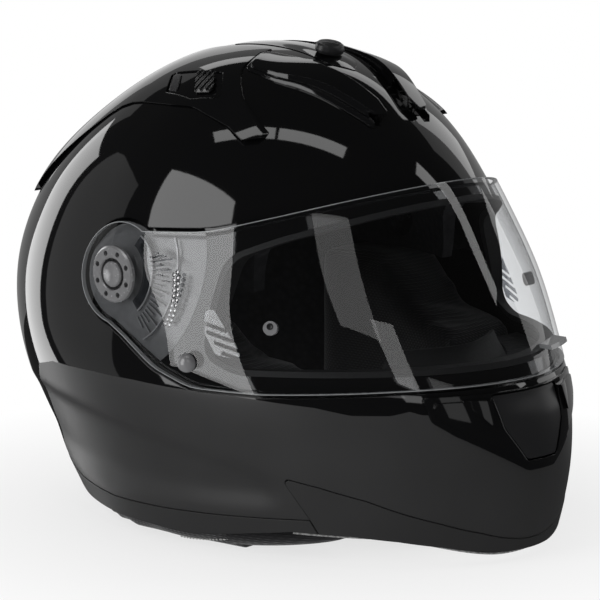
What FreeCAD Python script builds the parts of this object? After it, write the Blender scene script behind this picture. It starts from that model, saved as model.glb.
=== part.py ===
"""Full-face motorcycle helmet, as a parametric FreeCAD document in millimetres.

+Z is up, the wearer looks along -Y and the wearer's right is -X. The origin is at the
bottom centre. Every curved piece is cut from one master envelope, which is also the outer
face of the closed visor: its depth is counted inwards from that envelope.
"""
import FreeCAD, Part
import math
import os

import Sketcher
from FreeCAD import Placement, Rotation, Vector

DOC = FreeCAD.newDocument("helmet")

# ---------------------------------------------------------------- driving dimensions
DIMS = {
    "shell_thick": 4.0, "brow_depth": 5.0, "side_depth": 3.0,
    "visor_thick": 2.2, "visor_gap": 1.5, "recess_depth": 3.9, "pocket_depth": 7.2,
    "pivot_across": 124.8, "pivot_back": 13.0, "pivot_up": 141.0, "visor_hub": 26.0,
    "ring_outer": 14.7, "ring_thick": 1.5, "ring_hole": 0.75, "ring_pitch": 11.2,
    "boss_outer": 7.6, "boss_clear": 0.08, "button_outer": 6.8, "button_clear": 0.08,
    "button_travel": 1.2, "button_base": 120.2, "plate_radius": 50.0, "plate_top": 3.8, "plate_bottom": 6.8,
    "gasket_top": 3.1, "gasket_width": 3.0, "trim_thick": 4.3,
    "frame_proud": 2.2, "shutter_proud": 1.8, "shutter_gap": 0.8,
    "scoop_height": 5.5, "spoiler_height": 3.0,
    "head_across": 77.0, "head_along": 98.0, "head_tall": 66.0, "head_back": 22.0,
    "head_up": 140.0, "comfort_thick": 9.0,
    "shade_back": 5.0, "shade_up": 150.0, "shade_thick": 2.0, "shade_hub": 10.0,
    "shade_pin": 4.0, "shade_pin_long": 10.0,
    "knob_centre_up": 95.0, "knob_centre_back": 14.0, "track_radius": 157.2,
    "strap_wide": 20.0, "strap_thick": 1.4, "stud_radius": 5.0, "pin_radius": 3.6,
    "hinge_back": -162.3, "hinge_up": 56.2, "hinge_pin_radius": 1.2, "hinge_pin_long": 34.0,
    "slider_height": 4.0, "tab_reach": 7.0,
}
SHEET = DOC.addObject("Spreadsheet::Sheet", "dims")
for row, (alias, value) in enumerate(DIMS.items(), start=1):
    SHEET.set("A%d" % row, alias)
    SHEET.set("B%d" % row, str(value))
    SHEET.setAlias("B%d" % row, alias)
DOC.recompute()


def dim(alias):
    """One driving dimension, read from the sheet."""
    return float(getattr(SHEET, alias))


SIDES = {"right": -1, "left": 1}
PIVOT = (dim("pivot_back"), dim("pivot_up"))

# ---------------------------------------------------------------- master envelope
# Level, height, front, rear, half width, place of the widest point, front and rear roundness
LEVELS = [
    (0.0, 250.0, 16, 16, 0, 16, 2.00, 2.00),
    (0.1, 245.5, -22, 53, 36, 16, 2.00, 2.00),
    (0.2, 232.0, -57, 83, 67, 16, 1.95, 2.00),
    (0.3, 212.0, -84, 111, 91, 17, 1.88, 2.00),
    (0.4, 188.0, -105, 138, 108, 19, 1.82, 2.00),
    (0.5, 162.0, -121, 158, 119, 17, 1.82, 2.00),
    (0.6, 134.0, -136, 168, 126, 12, 1.85, 2.05),
    (0.7, 105.0, -149, 168, 127, 9, 1.88, 2.10),
    (0.8, 74.0, -161, 162, 122, 5, 1.90, 2.10),
    (0.9, 38.0, -166, 144, 112, 1, 1.88, 2.10),
    (1.0, 0.0, -158, 115, 102, 0, 1.90, 2.10),
]
LAST_LEVEL = 1.05
CROWN = 1e-6       # below this level a point is the crown itself


def spline(places, values):
    """Natural cubic spline through the values, as a function."""
    n = len(places)
    step = [places[i + 1] - places[i] for i in range(n - 1)]
    low, mid, high, rhs = [0.0] * n, [1.0] * n, [0.0] * n, [0.0] * n
    for i in range(1, n - 1):
        low[i], high[i] = step[i - 1], step[i]
        mid[i] = 2 * (step[i - 1] + step[i])
        rhs[i] = 6 * ((values[i + 1] - values[i]) / step[i] - (values[i] - values[i - 1]) / step[i - 1])
    for i in range(1, n):
        ratio = low[i] / mid[i - 1]
        mid[i] -= ratio * high[i - 1]
        rhs[i] -= ratio * rhs[i - 1]
    bend = [0.0] * n
    for i in range(n - 2, 0, -1):
        bend[i] = (rhs[i] - high[i] * bend[i + 1]) / mid[i]

    def at(place):
        i = 0
        while i < n - 2 and place > places[i + 1]:
            i += 1
        a = (places[i + 1] - place) / step[i]
        b = (place - places[i]) / step[i]
        curve = (a ** 3 - a) * bend[i] + (b ** 3 - b) * bend[i + 1]
        return a * values[i] + b * values[i + 1] + curve * step[i] ** 2 / 6
    return at


def mirrored(column, sign=1):
    """Spline of one column of LEVELS, mirrored about the crown so that the crown is smooth."""
    levels = [row[0] for row in LEVELS]
    values = [row[column] for row in LEVELS]
    return spline([-x for x in levels[:0:-1]] + levels, [sign * x for x in values[:0:-1]] + values)


HEIGHT, HALF_WIDTH, WIDEST = mirrored(1), mirrored(4, -1), mirrored(5)
ROUND_FRONT, ROUND_REAR = mirrored(6), mirrored(7)
FORE_AFT = spline([-row[0] for row in LEVELS[:0:-1]] + [row[0] for row in LEVELS],
                  [row[2] for row in LEVELS[:0:-1]] + [row[3] for row in LEVELS])


def smooth(value, start=0.0, end=1.0):
    """Smooth step from 0 at start to 1 at end."""
    share = min(1.0, max(0.0, (value - start) / (end - start)))
    return share * share * (3 - 2 * share)


def master(turn, level):
    """Point of the envelope: turn 0 is the front, and turns grow towards the wearer's left."""
    if level < CROWN:
        return Vector(0, FORE_AFT(0), HEIGHT(0))
    across, back = HALF_WIDTH(level), WIDEST(level)
    cosine, sine = math.cos(turn), math.sin(turn)
    rear_share = smooth((1 - cosine) / 2)
    front, rear = back - FORE_AFT(-level), FORE_AFT(level) - back
    along = front + (rear - front) * rear_share
    power = ROUND_FRONT(level) * (1 - rear_share) + ROUND_REAR(level) * rear_share
    reach = (abs(sine / across) ** power + abs(cosine / along) ** power) ** (-1 / power)
    return Vector(reach * sine, back - reach * cosine, HEIGHT(level))


def normal(turn, level):
    """Outward unit normal of the envelope."""
    if level < CROWN:
        return Vector(0, 0, 1)
    step = 1e-3
    around = master(turn + step, level) - master(turn - step, level)
    down = master(turn, level + step) - master(turn, level - step)
    direction = around.cross(down)
    direction.normalize()
    outwards = master(turn, level) - Vector(0, 10, 100)
    return direction if direction.dot(outwards) > 0 else -direction


def side_fade(turn):
    """1 over the front and sides, 0 over the back."""
    return 1 - smooth(abs(math.degrees(math.remainder(turn, 2 * math.pi))), 98, 128)


def pivot_distance(point):
    return math.hypot(point.y - PIVOT[0], point.z - PIVOT[1])


def shell_depth(turn, level):
    """Depth of the painted shell: it sinks behind the visor and over the brow."""
    point = master(turn, level)
    height = smooth(point.z, 84, 112) * (1 - smooth(point.z, 222, 249))
    front_share = max(0.0, math.cos(turn)) ** 2
    depth = dim("side_depth") + (dim("brow_depth") - dim("side_depth")) * front_share
    return depth * height * side_fade(turn)


def inner_depth(turn, level):
    """Depth of the shell's inner face, thicker under the visor's mechanism and ledge."""
    point = master(turn, level)
    on_side = smooth(abs(point.x), 70, 95)
    pocket = 7.0 * (1 - smooth(pivot_distance(point), 58, 80)) * on_side
    ledge = 2.5 * smooth(point.z, 78, 92) * (1 - smooth(point.z, 112, 125)) * side_fade(turn)
    return shell_depth(turn, level) + dim("shell_thick") + max(pocket, ledge)


def envelope(depth):
    """Place of a point at a depth below the envelope; depth may be a number or a function."""
    def place(turn, level):
        amount = depth(turn, level) if callable(depth) else depth
        return master(turn, level) - normal(turn, level) * amount
    return place


def visor_face(depth):
    """As envelope, but flat and square to the pivot axis around the visor's two pivots."""
    def place(turn, level):
        point = master(turn, level)
        flat = 1 - smooth(pivot_distance(point), 20, 58)
        inner = point - normal(turn, level) * depth
        if abs(point.x) < 60:
            return inner
        plane = math.copysign(dim("pivot_across") - depth, point.x)
        return Vector(inner.x * (1 - flat) + plane * flat, inner.y, inner.z)
    return place


def woven_face(place, turns, levels, columns, rows):
    """Smooth surface through a grid of points between two turns and two levels."""
    grid = []
    for j in range(rows):
        level = levels[0] + (levels[1] - levels[0]) * j / (rows - 1)
        line = [place(turns[0] + (turns[1] - turns[0]) * i / (columns - 1), level) for i in range(columns)]
        if level == LAST_LEVEL:
            line = [Vector(p.x, p.y, HEIGHT(LAST_LEVEL)) for p in line]
        grid.append(line)
    surface = Part.BSplineSurface()
    surface.interpolate(grid)
    return surface


def sewn(faces):
    """Solid bounded by faces that share their edges."""
    shell = Part.Shell(faces)
    shell.sewShape()
    solid = Part.Solid(shell)
    return solid if solid.Volume > 0 else solid.reversed()


def skin(place):
    """Closed solid inside one whole face: its two halves meet at the centre plane."""
    faces = [woven_face(place, (0, side * math.pi), (0.0, LAST_LEVEL), 21, 27).toShape() for side in (-1, 1)]
    rims = [min((e for e in face.Edges if e.Length > 1), key=lambda e: e.CenterOfMass.z) for face in faces]
    return sewn(faces + [Part.Face(Part.Wire(Part.__sortEdges__(rims)))])


def slab(outer, inner, turns, levels):
    """Solid between two faces over a range of turns (degrees) and levels."""
    turns = (math.radians(turns[0]), math.radians(turns[1]))
    columns = max(7, int(math.degrees(abs(turns[1] - turns[0])) / 6))
    rows = max(7, int((levels[1] - levels[0]) / 0.03))
    top, bottom = (woven_face(place, turns, levels, columns, rows) for place in (outer, inner))
    faces = [top.toShape(), bottom.toShape()]
    for low, high in zip(iso_edges(top), iso_edges(bottom)):
        faces.append(Part.makeRuledSurface(low, high))
    return sewn(faces)


def iso_edges(surface):
    u0, u1, v0, v1 = surface.bounds()
    return [c.toShape() for c in (surface.uIso(u0), surface.uIso(u1), surface.vIso(v0), surface.vIso(v1))]


# ---------------------------------------------------------------- outlines
def rounded_wire(points, radius=0.0, plane="side"):
    """Closed wire through corner points, each corner rounded to its own or the shared radius."""
    place = {"side": lambda a, b: Vector(0, a, b), "front": lambda a, b: Vector(a, 0, b),
             "top": lambda a, b: Vector(a, b, 0)}[plane]
    corners = [(place(p[0], p[1]), p[2] if len(p) > 2 else radius) for p in points]
    edges, first, last = [], None, None
    for i, (corner, size) in enumerate(corners):
        before, after = corners[i - 1][0], corners[(i + 1) % len(corners)][0]
        back, ahead = (before - corner).normalize(), (after - corner).normalize()
        half = back.getAngle(ahead) / 2
        start, end = corner, corner
        if size > 0 and half < math.pi / 2 - 1e-3:
            cut = size / math.tan(half)
            start, end = corner + back * cut, corner + ahead * cut
        if last is not None and (last - start).Length > 1e-6:
            edges.append(Part.makeLine(last, start))
        if (start - end).Length > 1e-6:
            middle = corner + (back + ahead).normalize() * (size / math.sin(half) - size)
            edges.append(Part.Arc(start, middle, end).toShape())
        first = first or start
        last = end
    edges.append(Part.makeLine(last, first))
    return Part.Wire(edges)


def grown(points, amount):
    """The same outline with every side moved outwards by an amount; corner radii are kept."""
    turning = sum(points[i - 1][0] * p[1] - p[0] * points[i - 1][1] for i, p in enumerate(points))
    sign = 1 if turning > 0 else -1
    moved = []
    for i, corner in enumerate(points):
        before, after = points[i - 1], points[(i + 1) % len(points)]
        first = Vector(corner[0] - before[0], corner[1] - before[1], 0).normalize()
        second = Vector(after[0] - corner[0], after[1] - corner[1], 0).normalize()
        out_a = Vector(first.y, -first.x, 0) * sign
        out_b = Vector(second.y, -second.x, 0) * sign
        shift = (out_a + out_b) * (amount / (1 + out_a.dot(out_b)))
        moved.append((corner[0] + shift.x, corner[1] + shift.y) + tuple(corner[2:]))
    return moved


def prism(wire, direction):
    return Part.Face(wire).extrude(direction)


def side_prism(wire):
    """Prism through the whole helmet along X, from an outline in the side view."""
    shape = prism(wire, Vector(400, 0, 0))
    shape.translate(Vector(-200, 0, 0))
    return shape


def front_prism(wire):
    """Prism through the chin along Y, from an outline in the front view."""
    shape = prism(wire, Vector(0, 100, 0))
    shape.translate(Vector(0, -200, 0))
    return shape


def top_prism(wire, side):
    """Prism down through the crown from an outline of the right half in the top view."""
    shape = prism(wire, Vector(0, 0, 120))
    shape.translate(Vector(0, 0, 160))
    return shape if side < 0 else shape.mirror(Vector(0, 0, 0), Vector(1, 0, 0))


def half_space(side):
    return Part.makeBox(200, 500, 400, Vector(-200 if side < 0 else 0, -250, -50))


def across_cylinder(radius, start, length, back, up):
    """Cylinder along X."""
    return Part.makeCylinder(radius, length, Vector(start, back, up), Vector(1, 0, 0))


def hinge_line(radius, length):
    """Cylinder on the chin vent's hinge axis, centred on the helmet."""
    return across_cylinder(radius, -length / 2, length, dim("hinge_back"), dim("hinge_up"))


def disc(radius, start, end, side, back=PIVOT[0], up=PIVOT[1]):
    """Cylinder along X between two distances from the centre plane, on one side."""
    shape = Part.makeCylinder(radius, end - start, Vector(start, back, up), Vector(1, 0, 0))
    return shape if side > 0 else shape.mirror(Vector(0, 0, 0), Vector(1, 0, 0))


VISOR_FRONT = [(-200, 196), (-119, 190), (-106, 187.5, 30), (-66, 174.5, 60), (-36, 165.5, 60),
               (18, 162.5, 4), (34, 124, 3), (8, 110, 30), (-13, 96.5, 40), (-36, 88, 30),
               (-73, 87.5, 60), (-130, 90.5), (-200, 93)]
PORT_OUTLINE = [(-230, 198), (-119, 182), (-104, 178, 20), (-66, 163.5, 40),
                (-46, 154, 12), (-42, 104, 11), (-58, 96, 24), (-230, 99)]

SEAM = [(190, 38), (125, 31), (73, 21), (36, 18), (-4, 19), (-40, 20.5), (-89, 23), (-78, 45, 2),
        (-96, 41), (-116, 35), (-129, 29), (-143, 23), (-154, 17), (-161, 11), (-190, 5)]
HEM = [(-190, 2.5), (-157, 5), (-141, 10), (-126, 13), (-108, 15), (-80, 15.5), (-50, 11), (-22, 7),
       (36, 7.5), (73, 10), (125, 20), (190, 26)]
SPLIT = 6          # SEAM[SPLIT] to HEM_SPLIT is the joint between the two lower trims
HEM_SPLIT = (-92, 15.2)

FRAME_OUTLINE = [(-58, 87.5, 2), (-55, 75, 4), (-46, 68, 5), (-27, 57, 8), (-10, 47.5, 6),
                 (10, 47.5, 6), (27, 57, 8), (46, 68, 5), (55, 75, 4), (58, 87.5, 2)]
SHUTTER_OUTLINE = [(-25, 86, 2), (-22, 70, 6), (-11, 53.5, 3), (11, 53.5, 3), (22, 70, 6), (25, 86, 2)]
SCOOP_OUTLINE = [(-6, -77, 3), (-19, -36, 30), (-26, 2, 4), (-46, -4, 4), (-45, -24, 30), (-22, -72, 4)]
SPOILER_OUTLINE = [(-43, 210.5, 1.5), (-18, 227.5, 8), (-2, 241, 8), (8, 262), (185, 262), (185, 166),
                   (133, 166, 8), (56, 222, 40), (5, 223, 30), (-22, 215, 10), (-33, 209, 2)]
SLOT_OUTLINE = [(-55, 40, 2), (-53, 5, 2), (-67, -7, 2), (-72, 10, 3), (-69, 31, 2)]
SLIDER_OUTLINE = [(-57, 21, 1), (-56, 8.5, 1), (-66, -1, 2), (-69, 10, 2)]
GRILLE_OUTLINE = [(-56.5, 37.5, 1), (-56.5, 32, 1), (-68, 23.5, 1), (-67.5, 30, 1)]


def visor_prism(margin):
    """The visor's side outline, grown by a margin: its front part and the round hub at the pivot."""
    front = side_prism(rounded_wire(grown(VISOR_FRONT, margin)))
    hub = Part.makeCylinder(dim("visor_hub") + margin, 400, Vector(-200, *PIVOT), Vector(1, 0, 0))
    return front.fuse(hub)


# ---------------------------------------------------------------- shared solids
SHELL_FACE = skin(envelope(shell_depth))
INNER_FACE = skin(envelope(inner_depth))
VISOR_ZONE = ((-116, 116), (0.36, 0.82))
CHIN_ZONE = ((-34, 34), (0.70, 0.93))
BESIDE = {-1: ((-116, -50), (0.36, 0.82)), 1: ((50, 116), (0.36, 0.82))}
ABOVE = {-1: ((-150, -8), (0.05, 0.36)), 1: ((8, 150), (0.05, 0.36))}
OUTSIDE = -12.0    # depth well outside the helmet, for cutting tools
PORT_PRISM = side_prism(rounded_wire(PORT_OUTLINE))
SHUTTER_HOLE = front_prism(rounded_wire(grown(SHUTTER_OUTLINE, dim("shutter_gap")), plane="front"))
LEDGE_PRISM = visor_prism(dim("visor_gap"))
BELOW_SEAM = side_prism(rounded_wire(SEAM + [(-190, -60), (190, -60)]))

NODES = []


def inside(extra):
    """Face a further depth inside the shell's inner face."""
    return envelope(lambda turn, level: inner_depth(turn, level) + extra)


def raised(height):
    """Face a height above the painted shell."""
    return envelope(lambda turn, level: shell_depth(turn, level) - height)


def keep(name, shape, placement=None):
    """Add a computed solid to the document as one named sub-part."""
    feature = DOC.addObject("Part::Feature", name)
    feature.Label = name
    solids = shape.Solids
    feature.Shape = max(solids, key=lambda s: s.Volume) if len(solids) > 1 else shape
    if placement:
        feature.Placement = placement
    NODES.append(feature)
    return feature


def named(feature, name):
    """Register a parametric object of the document as one named sub-part."""
    feature.Label = name
    NODES.append(feature)
    return feature


def ellipsoid(across, along, tall):
    """Ellipsoid about the middle of the wearer's head."""
    matrix = FreeCAD.Matrix()
    matrix.scale(across, along, tall)
    matrix.move(Vector(0, dim("head_back"), dim("head_up")))
    return Part.makeSphere(1.0).transformGeometry(matrix)


def face_column(across, along, back):
    """Upright elliptical column: the room that the wearer's face and neck need."""
    rim = Part.Ellipse(Vector(0, back, -60), max(across, along), min(across, along)).toShape()
    column = Part.Face(Part.Wire([rim])).extrude(Vector(0, 0, 400))
    if along > across:
        column.rotate(Vector(0, back, 0), Vector(0, 0, 1), 90)
    return column


# ---------------------------------------------------------------- shell and liner
def outer_shell():
    recess = slab(visor_face(OUTSIDE), visor_face(dim("recess_depth")), *VISOR_ZONE).common(LEDGE_PRISM)
    shape = SHELL_FACE.cut(INNER_FACE).cut(BELOW_SEAM).cut(recess)
    for side in SIDES.values():
        pocket = slab(visor_face(OUTSIDE), visor_face(dim("pocket_depth")), *BESIDE[side])
        shape = shape.cut(pocket.common(LEDGE_PRISM).common(disc(dim("plate_radius") + 0.6, 60, 160, side)))
    shape = shape.cut(PORT_PRISM).cut(SHUTTER_HOLE)
    shape = shape.cut(hinge_line(dim("hinge_pin_radius"), dim("hinge_pin_long")))
    for side in SIDES.values():
        intake = rounded_wire([(-12, -62), (-17, -40), (-25, -40), (-20, -60)], 1.5, "top")
        shape = shape.cut(top_prism(intake, side))
    return shape


# half section of the sun shield: distance across against distance from its pivot axis
SHADE_SECTION = [(0, 88), (22, 86.5), (42, 82), (58, 75), (70, 64.5), (79, 50), (86, 30), (88, 10)]
SHADE_START, SHADE_END, SHADE_SWING = 20, 66, 45


def shade_curve(offset):
    """The section moved outwards by an offset, as an edge from the middle to the hub."""
    points = []
    for k, (across, reach) in enumerate(SHADE_SECTION):
        before = SHADE_SECTION[max(0, k - 1)]
        after = SHADE_SECTION[min(len(SHADE_SECTION) - 1, k + 1)]
        outwards = Vector(before[1] - after[1], 0, after[0] - before[0]).normalize()
        if k == 0:
            outwards = Vector(0, 0, 1)
        points.append(Vector(across, 0, reach) + outwards * offset)
    curve = Part.BSplineCurve()
    curve.interpolate(points)
    return curve.toShape(), points[0], points[-1]


def shade_sector(inner, outer, start, end):
    """Solid between two offsets of the section, turned from start to end degrees above the front."""
    low, low_a, low_b = shade_curve(inner)
    high, high_a, high_b = shade_curve(outer)
    wire = Part.Wire([low, Part.makeLine(low_b, high_b), high.reversed(), Part.makeLine(high_a, low_a)])
    half = Part.Face(wire).revolve(Vector(0, 0, 0), Vector(1, 0, 0), end - start)
    whole = half.fuse(half.mirror(Vector(0, 0, 0), Vector(1, 0, 0))).removeSplitter()
    # the section stands on +Z, which is 90 degrees above the front
    whole.rotate(Vector(0, 0, 0), Vector(1, 0, 0), 90 - end)
    whole.translate(Vector(0, dim("shade_back"), dim("shade_up")))
    return whole


def shade_disc(radius, start, end, side):
    """Disc about the sun shield's pivot axis."""
    return disc(radius, start, end, side, dim("shade_back"), dim("shade_up"))


def sun_shield():
    thick = dim("shade_thick")
    plate = shade_sector(0, thick, SHADE_START, SHADE_END).common(skin(inside(1.0)))
    for side in SIDES.values():
        hub = shade_disc(dim("shade_hub"), 87, 87 + thick, side)
        hole = shade_disc(dim("shade_pin") + 0.05, 80, 96, side)
        plate = plate.fuse(hub).cut(hole)
    return plate


def eps_liner():
    """Crown and back foam, with the sun shield's pocket and the eye opening."""
    inner = ellipsoid(dim("head_across") + dim("comfort_thick"), dim("head_along") + dim("comfort_thick") + 1,
                      dim("head_tall") + dim("comfort_thick") + 1)
    zone = side_prism(rounded_wire([(-230, 132), (50, 132), (50, 26), (230, 26), (230, 300), (-230, 300)]))
    under_head = Part.makeBox(400, 400, 200, Vector(-200, -200, -60))
    below = face_column(84, 105.5, dim("head_back")).common(under_head)
    shape = skin(inside(0.5)).common(zone).cut(inner).cut(below)
    shape = shape.cut(side_prism(rounded_wire(grown(PORT_OUTLINE, 4))))
    shape = shape.cut(shade_sector(-2, 18, SHADE_START - SHADE_SWING - 4, SHADE_END + 4))
    for side in SIDES.values():
        hub_room = shade_disc(dim("shade_hub") + 3, 80, 91, side)
        seat = shade_disc(dim("shade_pin"), 84, 98, side)
        shape = shape.cut(hub_room).cut(seat)
    return shape


def crown_pad():
    thick = dim("comfort_thick")
    outer = ellipsoid(dim("head_across") + thick - 0.6, dim("head_along") + thick - 0.6,
                      dim("head_tall") + thick - 0.4)
    inner = ellipsoid(dim("head_across"), dim("head_along"), dim("head_tall"))
    zone = side_prism(rounded_wire([(-230, 182), (-40, 176), (20, 146), (230, 118), (230, 300), (-230, 300)]))
    return outer.cut(inner).common(zone)


def chin_eps():
    shape = slab(inside(0.5), inside(20), (-64, 64), (0.70, 0.98))
    shape = shape.common(side_prism(rounded_wire([(-230, 26), (-66, 26), (-66, 90), (-230, 90)])))
    channel = Part.makeBox(54, 80, 40, Vector(-27, -185, 49))
    return shape.cut(channel)


def cheek_pad(side):
    zone = rounded_wire([(47, 130), (2, 130), (-30, 106), (-62, 94), (-62, 25), (47, 25)], 8)
    shape = skin(inside(1.2)).common(side_prism(zone)).cut(face_column(66, 118, 10))
    return shape.common(half_space(side))


def neck_roll():
    """Padded roll around the neck opening: the helmet stands on it."""
    ring = slab(envelope(6.0), envelope(29.0), (64, 296), (0.88, 1.03))
    return ring.common(Part.makeBox(300, 300, 22, Vector(-150, -60, 0)))


def chin_curtain():
    """Wind stopper under the chin."""
    sheet = slab(envelope(7.0), envelope(44.0), (-52, 52), (0.93, 1.03))
    return sheet.common(Part.makeBox(150, 110, 1.6, Vector(-75, -200, 1.2)))


def breath_deflector():
    flap = slab(inside(20.5), inside(22.5), (-40, 40), (0.66, 0.86))
    return flap.common(Part.makeBox(96, 100, 38, Vector(-48, -200, 66))).cut(chin_eps())


def eye_port_gasket():
    inset = side_prism(rounded_wire(grown(PORT_OUTLINE, -dim("gasket_width"))))
    band = slab(visor_face(dim("gasket_top")), envelope(inner_depth), (-84, 84), (0.36, 0.84))
    return band.common(PORT_PRISM).cut(inset)


def lower_trim(front):
    turns = (-64, 64) if front else (34, 326)
    band = slab(envelope(-0.3), envelope(dim("trim_thick")), turns, (0.84, 1.03))
    if front:
        hem = [p for p in HEM if p[0] < HEM_SPLIT[0]]
        outline = SEAM[SPLIT + 1:] + hem + [HEM_SPLIT, SEAM[SPLIT]]
    else:
        hem = [p for p in HEM if p[0] > HEM_SPLIT[0]]
        outline = SEAM[:SPLIT + 1] + [HEM_SPLIT] + hem
    return band.common(side_prism(rounded_wire(outline)))


# ---------------------------------------------------------------- chin vent
def chin_vent_frame():
    plate = slab(envelope(-dim("frame_proud")), envelope(0.5), *CHIN_ZONE)
    plate = plate.common(front_prism(rounded_wire(FRAME_OUTLINE, plane="front"))).cut(SHELL_FACE)
    return plate.cut(SHUTTER_HOLE).cut(hinge_line(dim("hinge_pin_radius") + 0.05, dim("hinge_pin_long") + 0.2))


def chin_vent_shutter():
    plate = slab(envelope(-dim("shutter_proud")), envelope(0.9), *CHIN_ZONE)
    plate = plate.common(front_prism(rounded_wire(SHUTTER_OUTLINE, plane="front")))
    for start in (-9, 3):
        plate = plate.fuse(across_cylinder(2.2, start, 6, dim("hinge_back"), dim("hinge_up")))
    return plate.cut(hinge_line(dim("hinge_pin_radius") + 0.06, 40))


def chin_vent_mesh():
    plate = slab(envelope(9.6), envelope(10.8), *CHIN_ZONE)
    plate = plate.common(front_prism(rounded_wire([(-24, 85), (-24, 55), (24, 55), (24, 85)], 2, "front")))
    for column in range(7):
        for row in range(4):
            hole = Part.makeBox(4.6, 60, 4.6, Vector(-21.3 + 6.3 * column, -185, 58 + 6.3 * row))
            plate = plate.cut(hole)
    return plate


# ---------------------------------------------------------------- crown
def scoop_rise(turn, level):
    """Height of a scoop's roof above the shell: it grows towards its mouth."""
    return 2.0 + (dim("scoop_height") - 2.0) * smooth(-master(turn, level).y, 5, 50)


def scoop_face(below):
    return envelope(lambda turn, level: shell_depth(turn, level) - scoop_rise(turn, level) + below)


def top_vent_scoop(side):
    outline = top_prism(rounded_wire(SCOOP_OUTLINE, plane="top"), side)
    shape = slab(scoop_face(0), raised(0.02), *ABOVE[side]).common(outline)
    mouth = rounded_wire([(-9, -90), (-13, -52), (-23, -52), (-20, -90)], 1, "top")
    return shape.cut(slab(scoop_face(1.5), raised(-1), *ABOVE[side]).common(top_prism(mouth, side)))


def rear_spoiler():
    shape = slab(raised(dim("spoiler_height")), raised(0.02), (38, 322), (0.05, 0.66))
    shape = shape.common(side_prism(rounded_wire(SPOILER_OUTLINE)))
    shape = shape.cut(Part.makeBox(40, 120, 100, Vector(-20, -50, 180)))
    for side in SIDES.values():
        shape = shape.cut(top_prism(rounded_wire(SLOT_OUTLINE, plane="top"), side))
        shape = shape.cut(top_prism(rounded_wire(grown(SCOOP_OUTLINE, 1.0), plane="top"), side))
    return shape


def top_vent_slider(side):
    plate = slab(raised(dim("slider_height")), raised(1.0), *ABOVE[side])
    return plate.common(top_prism(rounded_wire(SLIDER_OUTLINE, plane="top"), side))


def exhaust_grille(side):
    plate = slab(raised(0.7), raised(0.02), *ABOVE[side])
    return plate.common(top_prism(rounded_wire(GRILLE_OUTLINE, plane="top"), side))


def crown_arc(radius, start, end, half_width):
    """Strip of a drum about the knob's axis, between two angles in front of the top."""
    drum = Part.makeCylinder(radius, 2 * half_width, Vector(-half_width, 0, 0), Vector(1, 0, 0), 360)
    drum.translate(Vector(0, dim("knob_centre_back"), dim("knob_centre_up")))
    reach = dim("knob_centre_back")
    front = reach - radius * math.sin(math.radians(start))
    rear = reach - radius * math.sin(math.radians(end))
    return drum.common(Part.makeBox(2 * half_width, rear - front, 60, Vector(-half_width, front, 225)))


def sun_shield_track():
    plate = crown_arc(dim("track_radius"), 20, -8, 12)
    tip = rounded_wire([(0, -40, 2), (-11, -30, 6), (-12, 36), (12, 36), (11, -30, 6)], plane="top")
    return plate.common(top_prism(tip, -1)).cut(SHELL_FACE)


def sun_shield_knob():
    """Oval grip that rides on the track, about the crown's centre of curvature."""
    grip = Part.makeCylinder(9, 30, Vector(0, -21, 240)).common(crown_arc(dim("track_radius") + 5, 18, 8, 9))
    squeeze = FreeCAD.Matrix()
    squeeze.scale(1, 0.72, 1)
    squeeze.move(Vector(0, -21 * 0.28, 0))
    grip = grip.transformGeometry(squeeze)
    floor = Part.makeCylinder(dim("track_radius") + 0.35, 60,
                              Vector(-30, dim("knob_centre_back"), dim("knob_centre_up")), Vector(1, 0, 0))
    return grip.cut(floor)


# ---------------------------------------------------------------- visor and its mechanism
def surface_frame(across, back, up, depth=0.0):
    """Point and outward direction on the visor nearest to a place, found by stepping the turn."""
    best = None
    for k in range(-90, 91):
        turn = math.radians(k)
        level = 0.45 + 0.35 * 0.5
        for _ in range(30):
            level += (HEIGHT(level) - up) / 300.0
        point = master(turn, level)
        gap = (point - Vector(across, back, up)).Length
        if best is None or gap < best[0]:
            best = (gap, point, normal(turn, level))
    return best[1] - best[2] * depth, best[2]


PIN_PLACE = (100, -74, 121)
STUD_PLACE = (121, -35, 101)


def pinlock_pin(side):
    point, outwards = surface_frame(side * PIN_PLACE[0], PIN_PLACE[1], PIN_PLACE[2])
    return Part.makeCylinder(dim("pin_radius"), 4.4, point - outwards * 3.4, outwards)


def visor():
    shape = slab(visor_face(0), visor_face(dim("visor_thick")), *VISOR_ZONE).common(visor_prism(0.0))
    for side in SIDES.values():
        shape = shape.cut(disc(dim("boss_outer") + dim("boss_clear"), 110, 140, side)).cut(pinlock_pin(side))
    return shape


def visor_tab():
    ridge = slab(visor_face(-dim("tab_reach")), visor_face(-0.02), (2, 34), (0.60, 0.80))
    return ridge.common(Part.makeBox(24, 80, 2.2, Vector(22, -200, 103)))


def visor_stud(side):
    point, _ = surface_frame(side * STUD_PLACE[0], STUD_PLACE[1], STUD_PLACE[2])
    ball = Part.makeSphere(dim("stud_radius"), point)
    return ball.cut(slab(visor_face(0), visor_face(10), *BESIDE[side]))


def visor_base_plate(side):
    zone = visor_prism(-1.5).common(disc(dim("plate_radius"), 60, 160, side))
    plate = slab(visor_face(dim("plate_top")), visor_face(dim("plate_bottom")), *BESIDE[side]).common(zone)
    boss = disc(dim("boss_outer"), 118.0, dim("pivot_across") + 1.3, side)
    floor = dim("button_base") - dim("button_travel") - 0.2
    bore = disc(dim("button_outer") + dim("button_clear"), floor, 140, side)
    return plate.fuse(boss).cut(bore).removeSplitter()


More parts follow.
